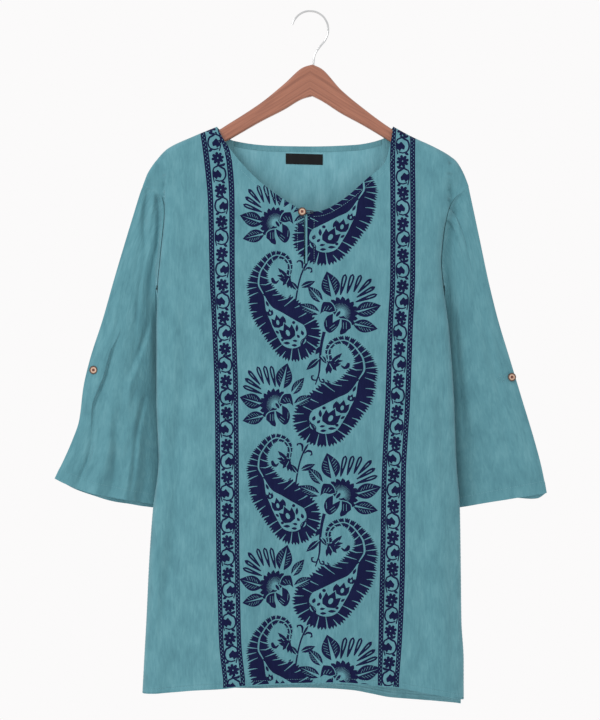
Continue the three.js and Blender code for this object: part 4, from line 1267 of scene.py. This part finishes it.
def make_sleeve(name, node_name, cut):
    place = sleeve_sheet(cut)
    along = spaced(0, np.linspace(FINE_FROM, 1, FINE_ROWS), SLEEVE_ROWS)[:, None]
    turn = np.arange(SLEEVE_ROUND)[None, :] / SLEEVE_ROUND
    middle = place(along, turn)
    facing = sleeve_facing(place, cut["side"], along, turn, 0.0004)
    fold = smooth(1 - CUFF_DEEP - CUFF_SOFT, 1 - CUFF_DEEP + CUFF_SOFT, along)
    stitch = np.exp(-(((along - 1 + CUFF_DEEP - CUFF_SEW) / CUFF_SOFT) ** 2))
    lift = CUFF_RAISE * fold - CUFF_PULL * stitch
    outer = (middle + facing * lift[..., None]).reshape(-1, 3)
    facing = facing.reshape(-1, 3)
    inner = middle.reshape(-1, 3) - facing * CLOTH_THICK
    faces = grid_faces(len(along), SLEEVE_ROUND, flip=cut["side"] > 0, closed=True)
    round_the_arm = np.linalg.norm(np.diff(middle, axis=1), axis=2).sum(1).mean()
    cloth_map = np.stack(
        np.broadcast_arrays(turn * round_the_arm, MAP_SLEEVE - along * SLEEVE_LONG), -1
    ).reshape(-1, 2)
    sleeve = make_shell(
        name, outer, inner, facing, faces, [cotton_teal, cotton_painted_fill],
        [0] * len(faces), cloth_map, inside_slot=1,
    )
    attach(sleeve, "root")
    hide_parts(node_name)
    print(name, len(sleeve.data.polygons), "faces,", round(round_the_arm), "mm round")


make_sleeve("sleeve_left_cloth", "sleeve_left", LEFT_SLEEVE)
make_sleeve("sleeve_right_cloth", "sleeve_right", RIGHT_SLEEVE)

# %% [markdown]
# ## Trim on the cloth
# A narrow binding covers the raw edge inside the back neck, a turned strip lies along the right
# edge of the slit, and a plain woven label is sewn under the binding. Each follows the drape of
# the panel that it is sewn to, a little proud of it.

# %% Binding and slit strip
TRIM_OFF, TRIM_THICK, TRIM_EDGE = 0.1, 0.9, 0.45  # gap to the cloth, thickness, share at its edges


def make_trim(name, node_name, x, z, sheet, thick, finish):
    """A thin strip on a panel, seen from the front; x and z are grids of points."""
    flat = np.stack([x, z], -1).reshape(-1, 2)
    slope_x, slope_z = slopes(sheet, flat[:, 0], flat[:, 1], 0.3)
    facing = unit(np.stack([slope_x, -np.ones_like(slope_x), slope_z], -1))
    under = np.stack([flat[:, 0], sheet(flat[:, 0], flat[:, 1]), flat[:, 1]], -1)
    # the middle stands a little higher than the sewn edges
    v = np.broadcast_to(np.linspace(-1, 1, x.shape[0])[:, None], x.shape).reshape(-1)
    lift = thick * (TRIM_EDGE + (1 - TRIM_EDGE) * (1 - v**4))
    faces = grid_faces(*x.shape)
    trim = make_shell(
        name, under + facing * lift[:, None], under, facing, faces, [finish], [0] * len(faces),
        flat + [0, MAP_TRIM],
    )
    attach(trim, "root")
    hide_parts(node_name)
    return trim


back_neck = table_curve(BACK_NECK, 1)


def inside_back(x, z):
    return back_y(x, z) - CLOTH_THICK - TRIM_OFF


def on_front(x, z):
    return front_y(x, z) - TRIM_OFF


BINDING_TALL, BINDING_DROP, BINDING_LEFT, BINDING_RIGHT = 7.5, 0.4, -106, 100
u = np.linspace(BINDING_LEFT, BINDING_RIGHT, 90)[None, :]
down = (BINDING_TALL * (1 - np.linspace(0, 1, 7)))[:, None]
binding = make_trim(
    "neck_binding_cloth", "neck_binding", u + 0 * down, back_neck(u) - BINDING_DROP - down,
    inside_back, TRIM_THICK, cotton_teal,
)

STRIP_NEAR, STRIP_FAR, STRIP_TOP = 0.4, 3.0, -285  # from the slit's edge, and its upper end
u = np.linspace(STRIP_NEAR, STRIP_FAR, 7)[None, :] + SLIT_X + SLIT_WIDE / 2
v = np.linspace(SLIT_BOTTOM + 1, STRIP_TOP, 40)[:, None]
strip_cloth = make_trim(
    "slit_strip_cloth", "slit_strip", u + 0 * v, v + 0 * u, on_front, TRIM_THICK, cotton_teal,
)

# %% [markdown]
# The label is a woven tape: a tight satin of dark thread, whose ribs run across it every half
# millimetre. That is finer than the view shows, so the ribs are drawn 1.2 mm apart.

# %% Label
RIB_STEP = 1.2
WAVE_STEP = 2 / 6.2832  # between the bands of a wave texture whose scale is 1
woven_tape, tree = material("woven satin tape, black")
tape_map = node(tree, "UVMap", uv_map="cloth").outputs["UV"]
ribs = node(
    tree, "TexWave",
    {"Vector": tape_map, "Scale": WAVE_STEP / (RIB_STEP * MM), "Distortion": 0.6},
    bands_direction="Y",
)
tape_tone = node(tree, "ValToRGB", {"Fac": ribs.outputs[1]})
tape_tone.color_ramp.elements[0].color = linear("#050507")
tape_tone.color_ramp.elements[1].color = linear("#0c0d12")
tape_bump = node(tree, "Bump", {"Height": ribs.outputs[1], "Strength": 0.4, "Distance": 0.0002})
shader = node(
    tree, "BsdfPrincipled",
    {"Base Color": tape_tone.outputs[0], "Normal": tape_bump.outputs[0], "Roughness": 0.6,
     "Specular IOR Level": 0.2},
)
node(tree, "OutputMaterial", {"Surface": shader.outputs[0]})

LABEL = {"x": -8, "z": -205, "wide": 52, "tall": 15, "thick": 0.7, "tilt": -0.027}
u = np.linspace(-LABEL["wide"] / 2, LABEL["wide"] / 2, 30)[None, :]
v = np.linspace(-LABEL["tall"] / 2, LABEL["tall"] / 2, 10)[:, None]
label = make_trim(
    "label_tape", "label", LABEL["x"] + u + 0 * v, LABEL["z"] + v + LABEL["tilt"] * u,
    inside_back, LABEL["thick"], woven_tape,
)

# %% [markdown]
# ## Loop and thread
# The loop is a dark cotton cord that goes round the neck button. Sewing is a row of short
# threads, each half sunk in the cloth, along the hems, the cuffs, the neck and the slit.

# %% Cotton thread and the loop
PLY, PLY_FINE = 0.6, 0.4  # the twist of a yarn


def thread_material(name, low, high, twist):
    made, tree = material(name)
    place = node(tree, "TexCoord").outputs["Object"]
    ply = node(tree, "TexNoise", {"Vector": place, "Scale": 1 / (twist * MM), "Detail": 2.0})
    tone = node(tree, "ValToRGB", {"Fac": ply.outputs[0]})
    tone.color_ramp.elements[0].color = linear(low)
    tone.color_ramp.elements[1].color = linear(high)
    bump = node(tree, "Bump", {"Height": ply.outputs[0], "Strength": 0.4, "Distance": 0.0002})
    shader = node(
        tree, "BsdfPrincipled",
        {"Base Color": tone.outputs[0], "Normal": bump.outputs[0], "Roughness": 0.75,
         "Sheen Weight": 0.15},
    )
    node(tree, "OutputMaterial", {"Surface": shader.outputs[0]})
    return made


cord_dark = thread_material("twisted cotton cord, dark", "#14152a", "#2b2c45", PLY)
thread_teal = thread_material("polyester sewing thread, teal", "#4d8490", "#7fb4be", PLY)
thread_dark = thread_material(
    "cotton button thread, red brown", "#4a1f16", "#7b3424", PLY_FINE
)

# the cord, how far its middle lies off the cloth, and its path: x and height
LOOP_RADIUS, LOOP_OFF = 0.65, 1.2
LOOP = [(4.5, -280.6), (-3, -279.6), (-13, -279.8), (-15, -281.5), (-13, -283.2), (-3, -283),
        (4.5, -282.8)]


def round_cord(name, points, radius, finish, sides=6):
    """A bezier cord through points in millimetres."""
    data = bpy.data.curves.new(name, "CURVE")
    data.dimensions, data.bevel_depth, data.bevel_resolution = "3D", radius * MM, sides
    data.resolution_u, data.use_fill_caps = 12, True
    spline = data.splines.new("BEZIER")
    spline.bezier_points.add(len(points) - 1)
    for knot, point in zip(spline.bezier_points, points):
        knot.co = Vector(point) * MM
        knot.handle_left_type = knot.handle_right_type = "AUTO"
    data.materials.append(finish)
    cord = add_object(name, data)
    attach(cord, "root")
    return cord


loop_y = float(front_y(0, -284)) - LOOP_OFF
loop = round_cord(
    "button_loop_cord",
    [(x, loop_y + (0.2 if x > 4 else 0), z) for x, z in LOOP], LOOP_RADIUS, cord_dark,
)
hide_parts("button_loop")

# %% Stitches
STITCH = {"long": 2.3, "pitch": 3.2, "radius": 0.26, "lift": 0.04}
NECK_SEW, BINDING_SEW = 7.0, 6.9  # from the neckline to the stitches, in front and behind
SLEEVE_LIFT = 0.15  # off a sleeve's cloth
SEW_LEFT, SEW_RIGHT, SEW_TOP, SEW_FOOT = -17.5, 5.6, -290, SLIT_BOTTOM - 7  # round the slit


def stitch_shape():
    """One thread: a small ball drawn out along x."""
    ball = bmesh.new()
    bmesh.ops.create_uvsphere(ball, u_segments=6, v_segments=4, radius=1)
    bmesh.ops.rotate(ball, verts=ball.verts, matrix=Matrix.Rotation(math.pi / 2, 3, "Y"))
    points = np.array([v.co[:] for v in ball.verts])
    faces = [[v.index for v in face.verts] for face in ball.faces]
    ball.free()
    return points * [STITCH["long"] / 2, STITCH["radius"], STITCH["radius"]], faces


def make_stitches(name, path, facing, slot="cloth"):
    """Stitches along a path of close points, lying in the surface that faces the given way."""
    shape, shape_faces = stitch_shape()
    gaps = np.linalg.norm(np.diff(path, axis=0), axis=1)
    run = np.concatenate([[0], np.cumsum(gaps)])
    count = int(run[-1] / STITCH["pitch"])
    at = (np.arange(count) + 0.5) * STITCH["pitch"]
    spot = rows_at(at, run, path)
    ahead = unit(rows_at(at + 0.5, run, path) - spot)
    up = unit(rows_at(at, run, facing))
    across = unit(np.cross(up, ahead))
    points, faces = [], []
    for k in range(count):
        turn = np.stack([ahead[k], across[k], up[k]])
        points.append(spot[k] + up[k] * STITCH["lift"] + shape @ turn)
        faces += [[i + k * len(shape) for i in face] for face in shape_faces]
    row = make_object(name, np.vstack(points), faces, [thread_teal])
    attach(row, "root")
    return count


def on_panel(x, z, sheet, side):
    outer, _, facing = panel_points(np.stack([x, z], -1), sheet, side)
    return outer, facing


total = 0
run_x = np.linspace(-228, 208, 500)
total += make_stitches(
    "stitches_hem_front",
    *on_panel(run_x, hem_front(run_x) + HEM_DEEP - SEW_IN, front_sheet, -1),
)
total += make_stitches(
    "stitches_hem_back", *on_panel(run_x, hem_back(run_x) + HEM_DEEP - SEW_IN, back_sheet, 1)
)
neck_path = trace(FRONT_NECK)(np.linspace(0.02, 0.98, 600))
neck_ahead = np.gradient(neck_path, axis=0)
neck_in = unit(np.stack([neck_ahead[:, 1], -neck_ahead[:, 0]], -1))
neck_line = neck_path + NECK_SEW * neck_in
for name, keep in (
    ("stitches_neck_left", neck_line[:, 0] < SLIT_X - 9),
    ("stitches_neck_right", neck_line[:, 0] > SLIT_X + 12),
):
    total += make_stitches(name, *on_panel(*neck_line[keep].T, front_sheet, -1))
slit_z = np.linspace(SEW_TOP, SEW_FOOT, 80)
for name, x in (("stitches_slit_right", SEW_RIGHT), ("stitches_slit_left", SEW_LEFT)):
    total += make_stitches(name, *on_panel(x + 0 * slit_z, slit_z, front_sheet, -1))
foot_x = np.linspace(SEW_LEFT, SEW_RIGHT, 40)
total += make_stitches(
    "stitches_slit_foot", *on_panel(foot_x, SEW_FOOT + 0 * foot_x, front_sheet, -1)
)
run_x = np.linspace(BINDING_LEFT + 2, BINDING_RIGHT - 2, 300)
bind_z = back_neck(run_x) - BINDING_SEW
bind_y = inside_back(run_x, bind_z) - 0.6  # in the binding's face, near its lower edge
bind_path = np.stack([run_x, bind_y, bind_z], -1)
total += make_stitches("stitches_binding", bind_path, np.tile([0.0, -1.0, 0.0], (300, 1)))
for name, cut in (("left", LEFT_SLEEVE), ("right", RIGHT_SLEEVE)):
    place = sleeve_sheet(cut)
    turn = np.linspace(0, 1, 700)
    along = np.full(700, 1 - CUFF_DEEP + CUFF_SEW)
    facing = sleeve_facing(place, cut["side"], along, turn, 0.002)
    ring = place(along, turn) + facing * SLEEVE_LIFT
    total += make_stitches(f"stitches_cuff_{name}", ring, facing)


def on_sleeve(cut, corners):
    """A line through corners, x and z, laid on the front of a sleeve; with its facing."""
    corners = np.array(corners, float)
    share = np.linspace(0, len(corners) - 1, 120)
    line = rows_at(share, range(len(corners)), corners)
    place = sleeve_sheet(cut)
    along, turn = np.meshgrid(np.linspace(0.45, 0.75, 300), np.linspace(0.2, 0.5, 300))
    sheet = place(along, turn)
    off_x = sheet[None, ..., 0] - line[:, :1, None]
    off_z = sheet[None, ..., 2] - line[:, 1:, None]
    near = (off_x**2 + off_z**2).reshape(len(line), -1).argmin(1)
    along, turn = along.ravel()[near], turn.ravel()[near]
    facing = sleeve_facing(place, cut["side"], along, turn, 0.002)
    return place(along, turn) + facing * SLEEVE_LIFT, facing


# the tab inside each sleeve is sewn through beside its button
for name, cut, corners in (
    ("left_button_outer", LEFT_SLEEVE, [(-310.5, -501), (-304, -501)]),
    ("left_button_inner", LEFT_SLEEVE, [(-300, -501), (-293.5, -501)]),
    ("right_tab_box", RIGHT_SLEEVE,
     [(263, -506), (272, -509), (270, -518), (261, -515), (263, -506)]),
    ("right_tab_cross", RIGHT_SLEEVE, [(263, -506), (270, -518), (272, -509), (261, -515)]),
):
    total += make_stitches(f"stitches_{name}", *on_sleeve(cut, corners))
print(total, "stitches")

# %% [markdown]
# ## Wooden buttons
# The buttons are turned from a pale wood with a scorched rim. Their shape is right as it is, so
# they keep it and get a finish: growth rings 0.9 mm apart, darker towards the edge. The distance
# from each button's own middle gives the rim, so each has its own centre.

# %% Buttons
BUTTON_RADIUS, BUTTON_RIM = 5.9, 0.5  # the rim stands this far out of the button's face
BUTTONS = ("button_neck", "button_sleeve_left", "button_sleeve_right")
RING_STEP = 0.9
# half the length, depth and width of the thread over a face, and how far out it lies
THREAD, THREAD_OUT = (1.5, 0.32, 0.34), 0.25


def turned_wood(name, centre):
    made, tree = material(name)
    place = node(tree, "TexCoord").outputs["Object"]
    centred = node(
        tree, "Mapping",
        {"Vector": place, "Location": (-centre[0], -centre[1], -centre[2])},
    )
    flat = node(tree, "VectorMath", {0: centred.outputs[0], 1: (1, 0, 1)}, operation="MULTIPLY")
    out = node(tree, "VectorMath", {0: flat.outputs[0]}, operation="LENGTH")
    share = node(
        tree, "Math", {0: out.outputs["Value"], 1: BUTTON_RADIUS * MM}, operation="DIVIDE"
    )
    zone = node(tree, "ValToRGB", {"Fac": share.outputs[0]})
    zone.color_ramp.elements[0].color = linear("#8a4026")
    zone.color_ramp.elements[1].color = linear("#3c2c28")
    for at, code in ((0.28, "#94513a"), (0.43, "#dcc0ac"), (0.62, "#d8b69c"), (0.76, "#5e463d")):
        zone.color_ramp.elements.new(at).color = linear(code)
    grain_map = node(
        tree, "Mapping",
        {"Vector": centred.outputs[0], "Scale": (1 / (RING_STEP * MM), 300, 1 / 0.006)},
    )
    grain = node(tree, "TexNoise", {"Vector": grain_map.outputs[0], "Detail": 3.0, "Scale": 1.0})
    grain_tone = node(tree, "ValToRGB", {"Fac": grain.outputs[0]})
    grain_tone.color_ramp.elements[0].color = linear("#b89a84")
    grain_tone.color_ramp.elements[1].color = linear("#ffffff")
    mixed = node(tree, "Mix", {"Factor": 0.7}, data_type="RGBA", blend_type="MULTIPLY")
    tree.links.new(zone.outputs[0], mixed.inputs["A"])
    tree.links.new(grain_tone.outputs[0], mixed.inputs["B"])
    bump = node(tree, "Bump", {"Height": grain.outputs[0], "Strength": 0.2, "Distance": 0.0002})
    shader = node(
        tree, "BsdfPrincipled",
        {"Base Color": mixed.outputs["Result"], "Normal": bump.outputs[0], "Roughness": 0.42,
         "Coat Weight": 0.2, "Coat Roughness": 0.2},
    )
    node(tree, "OutputMaterial", {"Surface": shader.outputs[0]})
    return made


def set_finish(node_name, finish):
    for piece in bpy.data.objects:
        if piece.type == "MESH" and piece.name.startswith(node_name):
            for slot in piece.material_slots:
                slot.material = finish


for button in BUTTONS:
    low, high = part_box(button)
    centre = [(a + b) / 2 for a, b in zip(low, high)]
    set_finish(button, turned_wood(f"turned wood, {button}", centre))
    thread_y = low[1] + (BUTTON_RIM + THREAD_OUT) * MM
    thread = bmesh.new()
    for turn_z in (45, -45):
        bmesh.ops.create_uvsphere(
            thread, u_segments=8, v_segments=6, radius=1,
            matrix=Matrix.Translation((centre[0], thread_y, centre[2]))
            @ Matrix.Rotation(math.radians(turn_z), 4, "Y")
            @ Matrix.Diagonal((*(half * MM for half in THREAD), 1)),
        )
    mesh = bpy.data.meshes.new(f"{button}_thread")
    thread.to_mesh(mesh)
    thread.free()
    mesh.materials.append(thread_dark)
    shade_smooth(mesh)
    piece = add_object(f"{button}_thread", mesh)
    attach(piece, "root")
    print(button, "at", [round(c / MM) for c in centre])

# %% [markdown]
# ## The hanger
# The hanger is one shaped board: thick at the neck, slim at the ends, with all
# edges well rounded and the arms bent a little forward. An outline from two short tables is
# extruded, bevelled and bent, which is also how it is milled: cut out, routed, then steamed.

# %% Hanger
# distance from the middle, top, underside
HANGER_LEFT = [
    (0, -73.5, -118), (12, -77, -121), (40, -101, -137), (71, -126.5, -153),
    (118, -157.5, -180), (134, -167.2, -188), (150, -172, -194), (184, -189, -209),
]
HANGER_RIGHT = [
    (0, -73.5, -118), (12, -79, -124), (40, -109, -142), (71, -135, -159), (112, -165, -184),
    (136, -178.5, -199), (184, -202.5, -222),
]
HANGER_THICK, HANGER_ROUND, TIP_LONG = 12, 4.6, 8


def hanger_outline():
    steps = np.linspace(0, REACH - TIP_LONG, 60)
    sides = []
    for rows, sign in ((HANGER_RIGHT, 1), (HANGER_LEFT, -1)):
        top = table_curve(rows, 1)(steps)
        low = table_curve(rows, 2)(steps)
        turn = np.radians(np.linspace(78, -78, 11))
        middle, half = (top[-1] + low[-1]) / 2, (top[-1] - low[-1]) / 2
        tip = np.stack([steps[-1] + TIP_LONG * np.cos(turn), middle + half * np.sin(turn)], -1)
        arm = np.vstack([np.stack([steps, top], -1), tip, np.stack([steps, low], -1)[::-1]])
        sides.append(arm * [sign, 1])
    right, left = sides
    return np.vstack([right, left[::-1][1:-1]]) + [CENTRE, 0]


board = bmesh.new()
corners = [board.verts.new((x * MM, -HANGER_THICK / 2 * MM, z * MM)) for x, z in hanger_outline()]
face = board.faces.new(corners)
lifted = bmesh.ops.extrude_face_region(board, geom=[face])
far = [item for item in lifted["geom"] if isinstance(item, bmesh.types.BMVert)]
bmesh.ops.translate(board, verts=far, vec=(0, HANGER_THICK * MM, 0))
bmesh.ops.recalc_face_normals(board, faces=board.faces)
rim = [
    edge for edge in board.edges
    if len(edge.link_faces) == 2 and max(len(f.verts) for f in edge.link_faces) > 8
]
bmesh.ops.bevel(
    board, geom=rim, offset=HANGER_ROUND * MM, affect="EDGES", segments=6, profile=0.5,
    material=-1, clamp_overlap=True,
)
bmesh.ops.triangulate(board, faces=[f for f in board.faces if len(f.verts) > 4])
for x in np.linspace(-REACH, REACH, 49)[1:-1]:
    bmesh.ops.bisect_plane(
        board, geom=board.verts[:] + board.edges[:] + board.faces[:],
        plane_co=((x + CENTRE) * MM, 0, 0), plane_no=(1, 0, 0), dist=1e-7,
    )
for vertex in board.verts:
    vertex.co.y += float(bow(vertex.co.x / MM)) * MM
mesh = bpy.data.meshes.new("hanger_board")
board.to_mesh(mesh)
board.free()
print("hanger:", len(mesh.polygons), "faces")

# %% [markdown]
# The wood is stained brown and lacquered, so it shows fine grain along the arms under a clear
# coat. Grain lines are about 1.5 mm apart and run the length of each arm; the coat is what
# gives the long soft highlight on the upper edge.

# %% Lacquered wood
lacquered, tree = material("stained wood, clear lacquer")
place = node(tree, "TexCoord").outputs["Object"]
axes = node(tree, "SeparateXYZ", {0: place})
reach_x = node(tree, "Math", {0: axes.outputs["X"]}, operation="ABSOLUTE")
drop = node(tree, "Math", {0: reach_x.outputs[0], 1: 0.62, 2: axes.outputs["Z"]},
            operation="MULTIPLY_ADD")
grain_place = node(tree, "CombineXYZ", {0: reach_x.outputs[0], 1: axes.outputs["Y"],
                                        2: drop.outputs[0]})
grain_map = node(
    tree, "Mapping", {"Vector": grain_place.outputs[0], "Scale": (14, 260, 1 / 0.0015 / 2)}
)
grain = node(tree, "TexNoise", {"Vector": grain_map.outputs[0], "Scale": 1.0, "Detail": 5.0,
                                "Distortion": 0.8})
stain = node(tree, "ValToRGB", {"Fac": grain.outputs[0]})
stain.color_ramp.elements[0].color = linear("#804a34")
stain.color_ramp.elements[1].color = linear("#a3674e")
stain.color_ramp.elements[0].position, stain.color_ramp.elements[1].position = 0.3, 0.72
wood_bump = node(tree, "Bump", {"Height": grain.outputs[0], "Strength": 0.15, "Distance": 0.0003})
shader = node(
    tree, "BsdfPrincipled",
    {"Base Color": stain.outputs[0], "Normal": wood_bump.outputs[0], "Roughness": 0.38,
     "Coat Weight": 0.55, "Coat Roughness": 0.16, "Coat IOR": 1.5},
)
node(tree, "OutputMaterial", {"Surface": shader.outputs[0]})
mesh.materials.append(lacquered)
shade_smooth(mesh)
# large faces lead the shading, so the thin cuts in them don't show
facing = np.zeros((len(mesh.vertices), 3))
for face in mesh.polygons:
    facing[list(face.vertices)] += np.array(face.normal) * face.area
mesh.normals_split_custom_set_from_vertices(unit(facing))
hanger = add_object("hanger_board", mesh)
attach(hanger, "root")
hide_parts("hanger")

# %% [markdown]
# ## The hook
# A 2.8 mm steel wire is bent over a former and plated. Bright plating is a mirror with faint
# drawing lines, so it is fully metallic, smooth, and only a little uneven.

# %% Hook
plated, tree = material("steel wire, bright plated")
place = node(tree, "TexCoord").outputs["Object"]
smudge = node(tree, "TexNoise", {"Vector": place, "Scale": 90.0, "Detail": 3.0})
rough = node(tree, "MapRange", {"Value": smudge.outputs[0], "To Min": 0.12, "To Max": 0.3})
tone = node(tree, "ValToRGB", {"Fac": smudge.outputs[0]})
tone.color_ramp.elements[0].color = linear("#b4b6b8")
tone.color_ramp.elements[1].color = linear("#dcdddd")
shader = node(
    tree, "BsdfPrincipled",
    {"Base Color": tone.outputs[0], "Metallic": 1.0, "Roughness": rough.outputs[0]},
)
node(tree, "OutputMaterial", {"Surface": shader.outputs[0]})
WIRE_RADIUS = 1.4
HOOK = [
    (-25, -17.5), (-21.5, -10.5), (-12, -1.5), (0, 1.4), (13, -2), (22.5, -12), (25.5, -25),
    (22, -38), (13.5, -49), (7, -59), (5, -70), (5, -77), (5, -84),
]
hook = round_cord("hook_wire", [(x, 0, z) for x, z in HOOK], WIRE_RADIUS, plated, 8)
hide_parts("hook")
print("hook from", HOOK[0], "to", HOOK[-1])

# %% [markdown]
# ## Light and camera
# The garment hangs over a pale floor, with a world of the same colour all round it and one soft
# light from above, on the left and in front. The camera looks straight at it from three metres.

# %% Stage
FLOOR_Z = -1.22
PALE = "#fbfafa"
floor_material, tree = material("matt plaster, off white")
floor_map = node(tree, "TexCoord").outputs["Object"]
speck = node(tree, "TexNoise", {"Vector": floor_map, "Scale": 30.0, "Detail": 3.0})
tint = node(tree, "Mix", {"Factor": speck.outputs[0]}, data_type="RGBA")
tint.inputs["A"].default_value = linear("#f9f7f5")
tint.inputs["B"].default_value = linear("#f3f0ee")
shader = node(tree, "BsdfPrincipled", {"Base Color": tint.outputs["Result"], "Roughness": 0.9})
node(tree, "OutputMaterial", {"Surface": shader.outputs[0]})
bpy.ops.mesh.primitive_plane_add(size=2.4, location=(0, 0, 0))
floor = bpy.context.object
floor.name = "pale_floor"
for vertex in floor.data.vertices:
    vertex.co.z = FLOOR_Z
floor.data.materials.append(floor_material)

world = bpy.data.worlds.new("pale room")
bpy.context.scene.world = world
world.use_nodes = True
world.node_tree.nodes["Background"].inputs["Color"].default_value = linear(PALE)
world.node_tree.nodes["Background"].inputs["Strength"].default_value = 1.0


LAMP_AT, LAMP_AIM = Vector((-1.8, -1.8, 1.0)), Vector((-0.02, 0, -0.5))
lamp = bpy.data.lights.new("window above left", "AREA")
lamp.shape, lamp.size, lamp.energy = "DISK", 1.1, 28
lamp_object = add_object(lamp.name, lamp)
lamp_object.location = LAMP_AT
lamp_object.rotation_euler = (LAMP_AIM - LAMP_AT).to_track_quat("-Z", "Y").to_euler()
print("lights:", [item.name for item in bpy.data.lights])

# %% Camera
DISTANCE, SENSOR, SEEN_TALL = 3.0, 24, 1.008  # the picture holds this many metres in height
VIEW_X, VIEW_Z = -14, -487
camera_data = bpy.data.cameras.new("camera")
camera_data.sensor_fit, camera_data.sensor_height = "VERTICAL", SENSOR
camera_data.lens = SENSOR * DISTANCE / SEEN_TALL
camera = add_object("camera", camera_data)
camera.location = (VIEW_X * MM, -DISTANCE, VIEW_Z * MM)
camera.rotation_euler = (math.radians(90), 0, 0)
bpy.context.scene.camera = camera

# %% The frame's box, low and high
low, high = CAD_BOX
